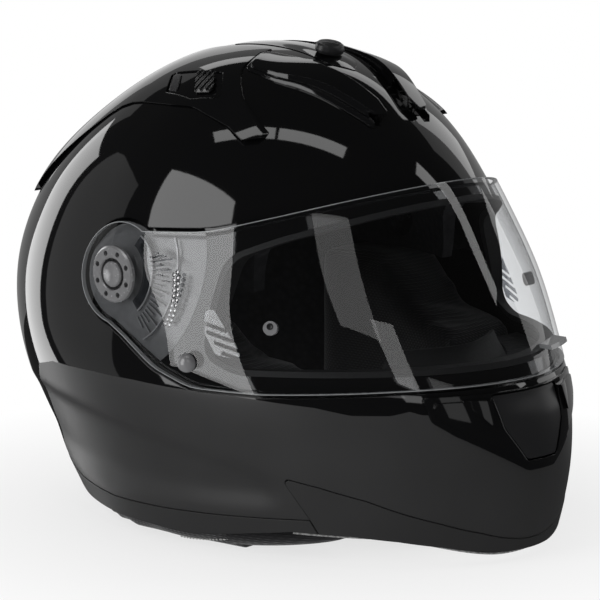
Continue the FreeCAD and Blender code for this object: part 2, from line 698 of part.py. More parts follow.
def detent_rack(side):
    """Toothed sector that the visor clicks along."""
    inner, outer, teeth = 39.5, 43.0, 9
    points = []
    for k in range(2 * teeth + 1):
        angle = math.radians(3 - 36.0 * k / (2 * teeth))
        reach = inner + (1.6 if k % 2 else 0.0)
        points.append((PIVOT[0] - reach * math.cos(angle), PIVOT[1] + reach * math.sin(angle)))
    for k in range(6, -1, -1):
        angle = math.radians(3 - 6.0 * k)
        points.append((PIVOT[0] - outer * math.cos(angle), PIVOT[1] + outer * math.sin(angle)))
    band = slab(visor_face(2.8), visor_face(dim("plate_top") - 0.02), *BESIDE[side])
    return band.common(side_prism(rounded_wire(points)))


# ---------------------------------------------------------------- parametric pieces
def bound_cylinder(name, radius, height, place, axis):
    """Part::Cylinder whose radius and height are expressions of the sheet."""
    item = DOC.addObject("Part::Cylinder", name)
    item.setExpression("Radius", radius)
    item.setExpression("Height", height)
    item.Placement = Placement(place, Rotation(Vector(0, 0, 1), axis))
    return item


def bound_cut(name, base, tool):
    item = DOC.addObject("Part::Cut", name)
    item.Base, item.Tool = base, tool
    return item


RING_CLEAR = 0.03


def pivot_ring(name, side):
    """Slip ring of the visor pivot with its circle of holes."""
    axis = Vector(side, 0, 0)
    centre = Vector(side * (dim("pivot_across") + RING_CLEAR), *PIVOT)
    plate = bound_cylinder(name + "_disc", "dims.ring_outer", "dims.ring_thick", centre, axis)
    drill = centre - axis * 2
    through = "dims.ring_thick + 4"
    tools = [bound_cylinder(name + "_bore", "dims.boss_outer + dims.boss_clear", through, drill, axis)]
    for k in range(8):
        turn = math.radians(45 * k + 22.5)
        offset = Vector(0, dim("ring_pitch") * math.cos(turn), dim("ring_pitch") * math.sin(turn))
        tools.append(bound_cylinder("%s_hole_%d" % (name, k), "dims.ring_hole", through,
                                    drill + offset, axis))
    holes = DOC.addObject("Part::MultiFuse", name + "_holes")
    holes.Shapes = tools
    return named(bound_cut(name, plate, holes), name)


def release_button(name, side):
    """Press button in the middle of the pivot, a turned PartDesign body."""
    body = DOC.addObject("PartDesign::Body", name)
    sketch = body.newObject("Sketcher::SketchObject", name + "_profile")
    plane = [f for f in body.Origin.OriginFeatures if f.Role == "XZ_Plane"][0]
    sketch.AttachmentSupport = [(plane, "")]
    sketch.MapMode = "FlatFace"
    radius, height, dish = dim("button_outer"), 6.6, 0.8
    corners = [(0, 0), (radius, 0), (radius, height - 0.6), (radius - 0.6, height), (4.2, height),
               (0, height - dish)]
    for k, (a, b) in enumerate(corners):
        c, d = corners[(k + 1) % len(corners)]
        sketch.addGeometry(Part.LineSegment(Vector(a, b, 0), Vector(c, d, 0)), False)
    for k in range(len(corners)):
        sketch.addConstraint(Sketcher.Constraint("Coincident", k, 2, (k + 1) % len(corners), 1))
    sketch.addConstraint(Sketcher.Constraint("DistanceX", -1, 1, 1, 1, radius))
    sketch.setExpression("Constraints[%d]" % len(corners), "dims.button_outer")
    turned = body.newObject("PartDesign::Revolution", name + "_turned")
    turned.Profile = sketch
    turned.ReferenceAxis = (sketch, ["V_Axis"])
    turned.Angle = 360
    base = Vector(side * dim("button_base"), *PIVOT)
    body.Placement = Placement(base, Rotation(Vector(0, 0, 1), Vector(side, 0, 0)))
    return named(body, name)


def rounded_box(name, size, place, radius, rotation=None):
    """Part::Box with all edges filleted."""
    box = DOC.addObject("Part::Box", name + "_block")
    box.Length, box.Width, box.Height = size
    DOC.recompute()
    item = DOC.addObject("Part::Fillet", name)
    item.Base = box
    item.Edges = [(k + 1, radius, radius) for k in range(len(box.Shape.Edges))]
    item.Placement = Placement(place, rotation or Rotation())
    return item


# ---------------------------------------------------------------- chin strap
STRAP_BACK = -6.0


def strap(side, end_across):
    """Webbing from the slit beside the neck roll down to the floor and inwards."""
    thick = dim("strap_thick")
    route = [(84, 23), (64, 23), (57, 17), (53, 5), (46, 1.2), (end_across, 1.2)]
    outer = [(side * x, z + thick / 2, 3) for x, z in route]
    inner = [(side * x, z - thick / 2, 3) for x, z in reversed(route)]
    outer[0], outer[-1] = outer[0][:2], outer[-1][:2]
    inner[0], inner[-1] = inner[0][:2], inner[-1][:2]
    # the vertical run is offset sideways so that the webbing keeps its thickness there
    for k in (1, 2, 3):
        outer[k] = (outer[k][0] - side * thick * 0.5, outer[k][1], 3)
        inner[-1 - k] = (inner[-1 - k][0] + side * thick * 0.5, inner[-1 - k][1], 3)
    shape = prism(rounded_wire(outer + inner, plane="front"), Vector(0, dim("strap_wide"), 0))
    shape.translate(Vector(0, STRAP_BACK - dim("strap_wide") / 2, 0))
    return shape


def buckle():
    """Micrometric buckle on the right strap, its release lever and the toothed tongue on the left."""
    y0 = STRAP_BACK - 13
    base = rounded_box("buckle_block", (30, 26, 9), Vector(-40, y0, 2.2), 1.2)
    channel = DOC.addObject("Part::Box", "buckle_channel")
    channel.Length, channel.Width, channel.Height = 34, 19, 4.2
    channel.Placement = Placement(Vector(-33, y0 + 3.5, 4.0), Rotation())
    named(bound_cut("buckle_body", base, channel), "buckle_body")
    flap = rounded_box("buckle_lever_flap", (22, 15, 2.6), Vector(-34, y0 + 5.5, 11.6), 0.8)
    barrel = DOC.addObject("Part::Cylinder", "buckle_lever_barrel")
    barrel.Radius, barrel.Height = 1.3, 15
    barrel.Placement = Placement(Vector(-34, y0 + 20.5, 12.6), Rotation(Vector(1, 0, 0), 90))
    lever = DOC.addObject("Part::MultiFuse", "buckle_lever")
    lever.Shapes = [flap, barrel]
    named(lever, "buckle_lever")
    tongue = rounded_box("buckle_tongue_plate", (46, 16, 1.6), Vector(-6, STRAP_BACK - 8, 2.2), 0.6)
    teeth = DOC.addObject("Part::MultiFuse", "buckle_teeth")
    bars = []
    for k in range(9):
        bar = DOC.addObject("Part::Wedge", "buckle_tooth_%d" % k)
        bar.Xmin, bar.Xmax, bar.X2min, bar.X2max = 0, 2.4, 0, 0.4
        bar.Ymin, bar.Ymax, bar.Zmin, bar.Zmax, bar.Z2min, bar.Z2max = 0, 1.2, 0, 12, 0, 12
        bar.Placement = Placement(Vector(-4 + 2.8 * k, STRAP_BACK + 6, 3.6), Rotation(Vector(1, 0, 0), 90))
        bars.append(bar)
    teeth.Shapes = [tongue] + bars
    named(teeth, "buckle_tongue")


# ---------------------------------------------------------------- build
keep("outer_shell", outer_shell())
keep("eps_liner", eps_liner())
keep("crown_pad", crown_pad())
keep("chin_eps", chin_eps())
keep("neck_roll", neck_roll())
keep("chin_curtain", chin_curtain())
keep("breath_deflector", breath_deflector())
keep("eye_port_gasket", eye_port_gasket())
keep("lower_trim_front", lower_trim(True))
keep("lower_trim_rear", lower_trim(False))
keep("chin_vent_frame", chin_vent_frame())
keep("chin_vent_shutter", chin_vent_shutter())
keep("chin_vent_mesh", chin_vent_mesh())
keep("rear_spoiler", rear_spoiler())
keep("sun_shield_track", sun_shield_track())
keep("sun_shield_knob", sun_shield_knob())
keep("sun_shield", sun_shield())
keep("visor", visor())
keep("visor_tab", visor_tab())
for word, sign in SIDES.items():
    keep("cheek_pad_" + word, cheek_pad(sign))
    keep("top_vent_scoop_" + word, top_vent_scoop(sign))
    keep("top_vent_slider_" + word, top_vent_slider(sign))
    keep("exhaust_grille_" + word, exhaust_grille(sign))
    keep("visor_base_plate_" + word, visor_base_plate(sign))
    keep("detent_rack_" + word, detent_rack(sign))
    keep("pinlock_pin_" + word, pinlock_pin(sign))
    keep("visor_stud_" + word, visor_stud(sign))
    keep("chin_strap_" + word, strap(sign, 36 if sign < 0 else 30))
    pivot_ring("visor_pivot_ring_" + word, sign)
    release_button("release_button_" + word, sign)
    pin = bound_cylinder("sun_shield_pivot_" + word, "dims.shade_pin", "dims.shade_pin_long",
                         Vector(sign * 87.0, dim("shade_back"), dim("shade_up")), Vector(sign, 0, 0))
    named(pin, "sun_shield_pivot_" + word)
hinge = bound_cylinder("chin_vent_hinge_pin", "dims.hinge_pin_radius", "dims.hinge_pin_long",
                       Vector(-dim("hinge_pin_long") / 2, dim("hinge_back"), dim("hinge_up")),
                       Vector(1, 0, 0))
named(hinge, "chin_vent_hinge_pin")
buckle()
DOC.recompute()

# ---------------------------------------------------------------- checks and export
for item in DOC.Objects:
    if "Invalid" in item.State or "Error" in item.State:
        raise RuntimeError("object failed: " + item.Name)
for node in NODES:
    if node.Shape.isNull() or not node.Shape.isValid():
        raise RuntimeError("bad shape: " + node.Label)
os.makedirs("parts", exist_ok=True)
for node in NODES:
    node.Shape.exportStep("parts/%s.step" % node.Label)
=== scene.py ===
"""Looks of a full-face motorcycle helmet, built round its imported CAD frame.

Shapes are worked out in millimetres and stored in metres. Every curved piece is cut from one
master envelope, which is also the outer face of the closed visor.
"""
import math

import bmesh
import bpy
import numpy as np
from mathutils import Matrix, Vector
from mathutils.bvhtree import BVHTree


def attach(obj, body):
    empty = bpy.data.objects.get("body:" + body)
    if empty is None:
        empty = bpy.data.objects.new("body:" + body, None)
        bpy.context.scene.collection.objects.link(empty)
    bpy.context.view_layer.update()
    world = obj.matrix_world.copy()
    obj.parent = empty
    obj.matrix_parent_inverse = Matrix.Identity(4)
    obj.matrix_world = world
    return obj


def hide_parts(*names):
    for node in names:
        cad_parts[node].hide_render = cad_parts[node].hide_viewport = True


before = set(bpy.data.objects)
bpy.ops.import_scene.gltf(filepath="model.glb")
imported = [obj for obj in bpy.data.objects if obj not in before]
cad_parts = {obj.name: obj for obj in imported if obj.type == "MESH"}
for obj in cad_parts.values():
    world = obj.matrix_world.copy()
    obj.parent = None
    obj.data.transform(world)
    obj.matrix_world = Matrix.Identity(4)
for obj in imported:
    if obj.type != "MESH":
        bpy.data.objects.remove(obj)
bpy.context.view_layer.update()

MM = 0.001
SIDES = {"right": -1, "left": 1}
PIVOT = (13.0, 141.0)
PIVOT_ACROSS = 124.8
LAST_LEVEL = 1.05
CROWN = 1e-6                     # below this level a point is the crown itself
MIDDLE_OF_SHELL = (0, 10.0, 100.0)
SHELL_BODY, VISOR_BODY = "helmet", "visor"

# ---------------------------------------------------------------- camera
CAMERA_PLACE = (-1.2244, -1.1418, 0.4082)
CAMERA_TARGET = (0.0, 0.0, 0.113)
camera = bpy.data.objects.new("camera", bpy.data.cameras.new("camera"))
camera.data.lens = 190.7
camera.data.sensor_width = 36.0
camera.location = CAMERA_PLACE
camera.rotation_euler = (Vector(CAMERA_TARGET) - Vector(CAMERA_PLACE)).to_track_quat("-Z", "Y").to_euler()
bpy.context.scene.collection.objects.link(camera)
bpy.context.scene.camera = camera

# ---------------------------------------------------------------- master envelope
# Level, height, front, rear, half width, place of the widest point, front and rear roundness
LEVELS = [
    (0.0, 250.0, 16, 16, 0, 16, 2.00, 2.00),
    (0.1, 245.5, -22, 53, 36, 16, 2.00, 2.00),
    (0.2, 232.0, -57, 83, 67, 16, 1.95, 2.00),
    (0.3, 212.0, -84, 111, 91, 17, 1.88, 2.00),
    (0.4, 188.0, -105, 138, 108, 19, 1.82, 2.00),
    (0.5, 162.0, -121, 158, 119, 17, 1.82, 2.00),
    (0.6, 134.0, -136, 168, 126, 12, 1.85, 2.05),
    (0.7, 105.0, -149, 168, 127, 9, 1.88, 2.10),
    (0.8, 74.0, -161, 162, 122, 5, 1.90, 2.10),
    (0.9, 38.0, -166, 144, 112, 1, 1.88, 2.10),
    (1.0, 0.0, -158, 115, 102, 0, 1.90, 2.10),
]


def spline(places, values):
    """Natural cubic spline through the values, as a function of an array."""
    x, y = np.array(places, float), np.array(values, float)
    n, step = len(x), np.diff(x)
    matrix, right = np.eye(n), np.zeros(n)
    for i in range(1, n - 1):
        matrix[i, i - 1:i + 2] = step[i - 1], 2 * (step[i - 1] + step[i]), step[i]
        right[i] = 6 * ((y[i + 1] - y[i]) / step[i] - (y[i] - y[i - 1]) / step[i - 1])
    bend = np.linalg.solve(matrix, right)

    def at(place):
        i = np.clip(np.searchsorted(x, place) - 1, 0, n - 2)
        b = (place - x[i]) / step[i]
        a = 1 - b
        return a * y[i] + b * y[i + 1] + ((a**3 - a) * bend[i] + (b**3 - b) * bend[i + 1]) * step[i]**2 / 6
    return at


def column_spline(before, after, sign=1):
    """Spline of LEVELS columns: one for the levels in front of the crown, one for those behind."""
    levels = [row[0] for row in LEVELS]
    front = [sign * row[before] for row in LEVELS]
    return spline([-v for v in levels[:0:-1]] + levels, front[:0:-1] + [row[after] for row in LEVELS])


HEIGHT, FORE_AFT, WIDEST = column_spline(1, 1), column_spline(2, 3), column_spline(5, 5)
HALF_WIDTH = column_spline(4, 4, -1)
ROUND_FRONT, ROUND_REAR = column_spline(6, 6), column_spline(7, 7)


def smooth(value, start=0.0, end=1.0):
    """Smooth step from 0 at start to 1 at end."""
    share = np.clip((value - start) / (end - start), 0, 1)
    return share * share * (3 - 2 * share)


def master(turn, level):
    """Points of the envelope: turn 0 is the front, and turns grow towards the wearer's left."""
    level = np.maximum(level, CROWN)
    across, back = HALF_WIDTH(level), WIDEST(level)
    cosine, sine = np.cos(turn), np.sin(turn)
    rear_share = smooth((1 - cosine) / 2)
    front, rear = back - FORE_AFT(-level), FORE_AFT(level) - back
    along = front + (rear - front) * rear_share
    power = ROUND_FRONT(level) * (1 - rear_share) + ROUND_REAR(level) * rear_share
    reach = (np.abs(sine / across)**power + np.abs(cosine / along)**power)**(-1 / power)
    return np.stack([reach * sine, back - reach * cosine, HEIGHT(level) + 0 * turn], -1)


def normal(turn, level):
    """Outward unit normals of the envelope."""
    step = 1e-3
    level = np.maximum(level, 2 * step)
    around = master(turn + step, level) - master(turn - step, level)
    down = master(turn, level + step) - master(turn, level - step)
    direction = np.cross(around, down)
    direction /= np.linalg.norm(direction, axis=-1, keepdims=True)
    outwards = master(turn, level) - np.array(MIDDLE_OF_SHELL)
    return direction * np.sign((direction * outwards).sum(-1, keepdims=True))


def side_fade(turn):
    """1 over the front and sides, 0 over the back."""
    return 1 - smooth(np.abs(np.degrees(np.arctan2(np.sin(turn), np.cos(turn)))), 98, 128)


def pivot_distance(point):
    return np.hypot(point[..., 1] - PIVOT[0], point[..., 2] - PIVOT[1])


LOWER_SEAM = ([-190, -96, -72, -40, 36, 73, 125, 190], [5, 41, 22, 20.5, 18, 21, 31, 38])
JAW_CREASE = ([-90, -74, -52, -12, 51, 90, 170], [42, 47, 54, 62, 71, 74, 70])


def shell_depth(turn, level):
    """Depth of the painted shell: it sinks behind the visor and over the brow."""
    point = master(turn, level)
    height = smooth(point[..., 2], 84, 112) * (1 - smooth(point[..., 2], 222, 249))
    front_share = np.maximum(0.0, np.cos(turn))**2
    return (3.0 + 2.0 * front_share) * height * side_fade(turn)


def creased_depth(turn, level):
    """The painted shell with the soft crease that runs along the jaw."""
    point = master(turn, level)
    below = np.interp(point[..., 1], *JAW_CREASE) - point[..., 2]
    above_seam = point[..., 2] - np.interp(point[..., 1], *LOWER_SEAM)
    sink = 2.6 * (1 - np.exp(-np.maximum(0, below)**2 / 40)) * smooth(above_seam, 1, 17)
    sink = sink * smooth(point[..., 1], -88, -62) * (1 - smooth(point[..., 1], 90, 150))
    return shell_depth(turn, level) + sink


def inner_depth(turn, level):
    """Depth of the shell's inner face, thicker under the visor's mechanism and ledge."""
    point = master(turn, level)
    pocket = 7.0 * (1 - smooth(pivot_distance(point), 58, 80)) * smooth(np.abs(point[..., 0]), 70, 95)
    ledge = 2.5 * smooth(point[..., 2], 78, 92) * (1 - smooth(point[..., 2], 112, 125)) * side_fade(turn)
    return shell_depth(turn, level) + 4.0 + np.maximum(pocket, ledge)


def envelope(depth):
    """Places at a depth below the envelope; depth may be a number or a function."""
    def place(turn, level):
        amount = depth(turn, level)[..., None] if callable(depth) else depth
        return master(turn, level) - normal(turn, level) * amount
    return place


FLAT_SOFTNESS = 2.0              # how gradually the visor turns into its flat, in mm


def visor_face(depth):
    """As envelope, but planed off square to the pivot axis at the visor's two pivots."""
    def place(turn, level):
        amount = depth(turn, level) if callable(depth) else np.full(np.shape(turn), float(depth))
        inner = master(turn, level) - normal(turn, level) * amount[..., None]
        across, plane = np.abs(inner[..., 0]), PIVOT_ACROSS - amount
        soft = 0.5 * (across + plane - np.sqrt((across - plane)**2 + FLAT_SOFTNESS**2))
        share = smooth(across, 60, 80)
        inner[..., 0] = np.sign(inner[..., 0]) * (across + (soft - across) * share)
        return inner
    return place


def raised(height):
    """Places a height above the painted shell; height may be a number or a function."""
    def depth(turn, level):
        amount = height(turn, level) if callable(height) else height
        return shell_depth(turn, level) - amount
    return envelope(depth)


# ---------------------------------------------------------------- meshes
SOURCES = {}       # object name: the smooth surfaces that its faces may lie on


def link(name, mesh):
    """New object with a mesh, placed in the scene."""
    obj = bpy.data.objects.new(name, mesh)
    bpy.context.scene.collection.objects.link(obj)
    return obj


def mesh_object(name, points, faces):
    """Closed mesh from points in millimetres, its faces turned outwards."""
    mesh = bpy.data.meshes.new(name)
    mesh.from_pydata((np.asarray(points, float) * MM).tolist(), [], faces)
    work = bmesh.new()
    work.from_mesh(mesh)
    bmesh.ops.remove_doubles(work, verts=work.verts, dist=1e-6)
    bmesh.ops.recalc_face_normals(work, faces=work.faces)
    work.to_mesh(mesh)
    work.free()
    return link(name, mesh)


def grid_faces(rows, columns):
    """Point numbers of a grid, and the quads between neighbouring points."""
    index = np.arange(rows * columns).reshape(rows, columns)
    corners = index[:-1, :-1], index[:-1, 1:], index[1:, 1:], index[1:, :-1]
    return index, np.stack(corners, -1).reshape(-1, 4)


def between(name, first, second, whole=False):
    """Closed mesh between two grids of points; over a whole turn it has no side edges."""
    index, quads = grid_faces(*first.shape[:2])
    total = index.size
    faces = quads.tolist() + (quads[:, ::-1] + total).tolist()
    edges = [index[0, :], index[-1, :]]
    if not whole:
        edges += [index[:, 0], index[:, -1]]
    for edge in edges:
        faces += np.stack([edge[:-1], edge[1:], edge[1:] + total, edge[:-1] + total], -1).tolist()
    return mesh_object(name, np.concatenate([first.reshape(-1, 3), second.reshape(-1, 3)]), faces)


BOX_FACES = ((0, 1, 2, 3), (4, 5, 6, 7), (0, 1, 5, 4), (1, 2, 6, 5), (2, 3, 7, 6), (3, 0, 4, 7))


def tube_faces(rings, count, base=0, caps=True):
    """Quads between neighbouring rings of points, with a cap at each end."""
    faces = []
    for start in range(base, base + (rings - 1) * count, count):
        for k in range(count):
            m = (k + 1) % count
            faces.append([start + k, start + m, start + count + m, start + count + k])
    if caps:
        last = base + (rings - 1) * count
        faces += [list(range(base, base + count)), list(range(last + count - 1, last - 1, -1))]
    return faces


def grid_source(points, whole):
    """A grid of points as a search tree with a normal at every point."""
    down = np.gradient(points, axis=0)
    if whole:
        ring = points[:, :-1]
        across = np.roll(ring, -1, axis=1) - np.roll(ring, 1, axis=1)
        across = np.concatenate([across, across[:, :1]], axis=1)
        down = np.concatenate([down[:, :-1], down[:, :1]], axis=1)
    else:
        across = np.gradient(points, axis=1)
    normals = np.cross(across, down)
    length = np.linalg.norm(normals, axis=-1, keepdims=True)
    normals /= np.maximum(1e-9, length)
    if length[0].max() < 1e-6:
        normals[0] = normals[1].mean(0) / np.linalg.norm(normals[1].mean(0))
    flat = points.reshape(-1, 3) * MM
    quads = grid_faces(*points.shape[:2])[1]
    triangles = np.concatenate([quads[:, [0, 1, 2]], quads[:, [0, 2, 3]]])
    tree = BVHTree.FromPolygons(flat.tolist(), triangles.tolist())
    return tree, flat, normals.reshape(-1, 3), triangles


def slab(name, outer, inner, turns=(0.0, 360.0), levels=(0.0, LAST_LEVEL), fine=1.2):
    """Closed mesh between two faces over a range of turns (degrees) and levels."""
    whole = turns[1] - turns[0] >= 360
    columns = int((turns[1] - turns[0]) / fine) + 1
    rows = int((levels[1] - levels[0]) / (0.007 * fine)) + 1
    turn, level = np.meshgrid(np.radians(np.linspace(*turns, columns)), np.linspace(*levels, rows))
    over, under = outer(turn, level), inner(turn, level)
    obj = between(name, over, under, whole)
    SOURCES[obj.name] = [grid_source(over, whole), grid_source(under, whole)]
    return obj


ARC_STEP = 12                    # degrees between the points of a rounded corner


def rounded(points):
    """Outline through corner points, each rounded to its own radius where it has one."""
    corners = [(np.array(p[:2], float), p[2] if len(p) > 2 else 0) for p in points]
    path = []
    for i, (corner, size) in enumerate(corners):
        back, ahead = corners[i - 1][0] - corner, corners[(i + 1) % len(corners)][0] - corner
        back, ahead = back / np.linalg.norm(back), ahead / np.linalg.norm(ahead)
        half = math.acos(np.clip(back @ ahead, -1, 1)) / 2
        if size <= 0 or half > math.pi / 2 - 1e-3:
            path.append(corner)
            continue
        middle = corner + (back + ahead) / np.linalg.norm(back + ahead) * size / math.sin(half)
        start = corner + back * size / math.tan(half) - middle
        end = corner + ahead * size / math.tan(half) - middle
        sweep = math.pi - 2 * half
        count = max(2, int(math.degrees(sweep) / ARC_STEP) + 1)
        for k in range(count + 1):
            share = math.sin(sweep * (1 - k / count)), math.sin(sweep * k / count)
            path.append(middle + (start * share[0] + end * share[1]) / math.sin(sweep))
    return path


def grown(points, amount):
    """The same outline with every side moved outwards by an amount; corner radii are kept."""
    turning = sum(points[i - 1][0] * p[1] - p[0] * points[i - 1][1] for i, p in enumerate(points))
    sign = 1 if turning > 0 else -1
    moved = []
    for i, corner in enumerate(points):
        before, after = points[i - 1], points[(i + 1) % len(points)]
        first = np.array([corner[1] - before[1], before[0] - corner[0]], float) * sign
        second = np.array([after[1] - corner[1], corner[0] - after[0]], float) * sign
        first, second = first / np.linalg.norm(first), second / np.linalg.norm(second)
        shift = (first + second) * (amount / (1 + first @ second))
        moved.append((corner[0] + shift[0], corner[1] + shift[1]) + tuple(corner[2:]))
    return moved


PLANES = {"side": (1, 2, 0), "front": (0, 2, 1), "top": (0, 1, 2)}


def prism(outline, plane="side", low=-200.0, high=200.0, mirror=False):
    """Closed prism of an outline in the side, front or top view, between two distances."""
    first, second, third = PLANES[plane]
    ring = np.zeros((len(outline), 3))
    ring[:, first] = [p[0] for p in outline]
    ring[:, second] = [p[1] for p in outline]
    near, far = ring.copy(), ring.copy()
    near[:, third], far[:, third] = low, high
    points = np.concatenate([near, far])
    if mirror:
        points[:, 0] *= -1
    n = len(outline)
    faces = [list(range(n)), list(range(2 * n - 1, n - 1, -1))]
    faces += [[k, (k + 1) % n, n + (k + 1) % n, n + k] for k in range(n)]
    return mesh_object("tool", points, faces)


def turned(profile, centre, axis, count=96, name="turned"):
    """Lathe a profile of (distance along the axis, radius) about an axis; both in millimetres."""
    axis = np.array(axis, float) / np.linalg.norm(axis)
    side = np.cross(axis, [0, 0, 1.0] if abs(axis[2]) < 0.9 else [1.0, 0, 0])
    side /= np.linalg.norm(side)
    other = np.cross(axis, side)
    angles = np.linspace(0, 2 * math.pi, count, endpoint=False)
    ring = np.cos(angles)[:, None] * side + np.sin(angles)[:, None] * other
    points = np.concatenate([np.array(centre) + axis * along + ring * radius for along, radius in profile])
    open_ended = profile[0] != profile[-1]
    return mesh_object(name, points, tube_faces(len(profile), count, caps=open_ended))


def across_disc(radius, start, end, side, back=PIVOT[0], up=PIVOT[1], count=96):
    """Cylinder along X between two distances from the centre plane, on one side."""
    return turned([(start, radius), (end, radius)], (0, back, up), (side, 0, 0), count, "tool")


def applied(obj):
    """Bake an object's modifiers into its mesh."""
    graph = bpy.context.evaluated_depsgraph_get()
    mesh = bpy.data.meshes.new_from_object(obj.evaluated_get(graph))
    obj.modifiers.clear()
    obj.data = mesh
    return obj


def boolean(obj, tool, operation):
    """Boolean of two closed meshes, after which the tool is deleted."""
    before = obj.data
    for solver in ("MANIFOLD", "EXACT"):
        modifier = obj.modifiers.new("boolean", "BOOLEAN")
        modifier.operation, modifier.object, modifier.solver = operation, tool, solver
        obj.data = before
        applied(obj)
        if len(obj.data.polygons) and len(obj.data.polygons) != len(before.polygons):
            break
    SOURCES.setdefault(obj.name, []).extend(SOURCES.get(tool.name, []))
    bpy.data.objects.remove(tool)
    return obj


def cut(obj, tool):
    """Take the tool away from the object."""
    return boolean(obj, tool, "DIFFERENCE")


def common(obj, tool):
    """Keep what the object shares with the tool."""
    return boolean(obj, tool, "INTERSECT")


def fuse(obj, tool):
    """Join the tool to the object."""
    return boolean(obj, tool, "UNION")


def pulled(items, attribute, width=1, kind=float):
    """One attribute of every item as an array, a row for each item."""
    values = np.zeros(len(items) * width, kind)
    items.foreach_get(attribute, values)
    return values.reshape(-1, width) if width > 1 else values


ON_SURFACE = 4e-5                # most metres between a point and the surface that it lies on
FACING = 0.8                     # least agreement between a face and that surface's normal
SHARP_ANGLE = math.radians(32)


def smooth_normals(obj):
    """Shade smoothly, with exact normals wherever a face lies on one of its source surfaces."""
    mesh = obj.data
    mesh.shade_smooth()
    mesh.set_sharp_from_angle(angle=SHARP_ANGLE)
    sources = SOURCES.pop(obj.name, [])
    if not sources:
        return obj
    corner = pulled(mesh.corner_normals, "vector", 3)
    vertex_of = pulled(mesh.loops, "vertex_index", kind=int)
    counts = pulled(mesh.polygons, "loop_total", kind=int)
    facing = np.repeat(pulled(mesh.polygons, "normal", 3), counts, 0)
    best = np.full(len(mesh.loops), FACING)
    for tree, points, normals, triangles in sources:
        found = np.zeros((len(mesh.vertices), 3))
        for k, vertex in enumerate(mesh.vertices):
            place, _, index, distance = tree.find_nearest(vertex.co, ON_SURFACE)
            if place is None:
                continue
            a, b, c = points[triangles[index]]
            u, v, w = b - a, c - a, np.array(place) - a
            uu, uv, vv, wu, wv = u @ u, u @ v, v @ v, w @ u, w @ v
            area = uu * vv - uv * uv
            if area <= 0:
                continue
            s, t = (vv * wu - uv * wv) / area, (uu * wv - uv * wu) / area
            mix = normals[triangles[index]]
            found[k] = mix[0] * (1 - s - t) + mix[1] * s + mix[2] * t
        wanted = found[vertex_of]
        agree = (wanted * facing).sum(1)
        use = np.abs(agree) > best
        corner[use] = (wanted * np.sign(agree)[:, None])[use]
        best[use] = np.abs(agree)[use]
    mesh.normals_split_custom_set(corner.tolist())
    return obj


def finished(obj, name, material, body, slot, *nodes, normals=True):
    """Name a piece, give it its finish, tie it to its body and hide the CAD nodes it stands for."""
    if normals:
        smooth_normals(obj)
    obj.name = name
    obj.data.materials.clear()
    obj.data.materials.append(material)
    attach(obj, body)
    if nodes:
        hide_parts(*nodes)
    return obj


# ---------------------------------------------------------------- materials
class Nodes:
    """A material's node tree with short ways to add nodes."""

    def __init__(self, name):
        self.material = bpy.data.materials.new(name)
        self.material.use_nodes = True
        self.tree = self.material.node_tree
        self.tree.nodes.clear()
        self.output = self.add("ShaderNodeOutputMaterial")
        self.place = self.add("ShaderNodeTexCoord").outputs["Object"]

    def add(self, kind, **settings):
        node = self.tree.nodes.new(kind)
        for key, value in settings.items():
            setattr(node, key, value)
        return node

    def wire(self, source, target):
        self.tree.links.new(source, target)

    def put(self, target, value):
        """Link a socket, or set a number or colour directly."""
        if isinstance(value, bpy.types.NodeSocket):
            self.wire(value, target)
        else:
            target.default_value = value

    def maths(self, operation, *values):
        node = self.add("ShaderNodeMath", operation=operation)
        for k, value in enumerate(values):
            self.put(node.inputs[k], value)
        return node.outputs[0]

    def remap(self, value, low, high, to_low=0.0, to_high=1.0):
        node = self.add("ShaderNodeMapRange")
        for k, item in enumerate((value, low, high, to_low, to_high)):
            self.put(node.inputs[k], item)
        return node.outputs[0]

    def blend(self, share, first, second):
        node = self.add("ShaderNodeMix", data_type="RGBA")
        self.put(node.inputs[0], share)
        self.put(node.inputs[6], first)
        self.put(node.inputs[7], second)
        return node.outputs[2]

    def noise(self, scale, detail=3.0, stretch=None):
        node = self.add("ShaderNodeTexNoise")
        place = self.place
        if stretch:
            mapping = self.add("ShaderNodeMapping")
            self.wire(place, mapping.inputs[0])
            mapping.inputs[3].default_value = stretch
            place = mapping.outputs[0]
        self.wire(place, node.inputs["Vector"])
        node.inputs["Scale"].default_value = scale
        node.inputs["Detail"].default_value = detail
        return node.outputs[0]

    def cells(self, scale):
        node = self.add("ShaderNodeTexVoronoi")
        self.wire(self.place, node.inputs["Vector"])
        node.inputs["Scale"].default_value = scale
        return node.outputs[0]

    def bands(self, scale, direction):
        node = self.add("ShaderNodeTexWave", bands_direction=direction)
        self.wire(self.place, node.inputs["Vector"])
        node.inputs["Scale"].default_value = scale
        return node.outputs[1]

    def bump(self, height, distance, strength=1.0, over=None):
        node = self.add("ShaderNodeBump")
        node.inputs["Strength"].default_value = strength
        node.inputs["Distance"].default_value = distance
        self.wire(height, node.inputs["Height"])
        if over is not None:
            self.wire(over, node.inputs["Normal"])
        return node.outputs[0]

    def rounded_edge(self, radius):
        """Normal that softens sharp edges over a radius in metres."""
        node = self.add("ShaderNodeBevel", samples=3)
        node.inputs[0].default_value = radius
        return node.outputs[0]

    def orange_peel(self, edge):
        return self.bump(self.noise(190, 1.0), 0.00002, 0.25, edge)

    def fine_grain(self, edge):
        return self.bump(self.noise(1500, 2.0), 0.00003, 0.5, edge)

    def surface(self, colour, roughness, **extra):
        """Principled surface as the material's output."""
        shader = self.add("ShaderNodeBsdfPrincipled")
        self.put(shader.inputs["Base Color"], colour)
        self.put(shader.inputs["Roughness"], roughness)
        for key, value in extra.items():
            self.put(shader.inputs[key.replace("_", " ")], value)
        self.wire(shader.outputs[0], self.output.inputs[0])
        return self.material


BLACK = (0.0035, 0.0035, 0.0038, 1)
CHARCOAL = (0.027, 0.027, 0.0275, 1)
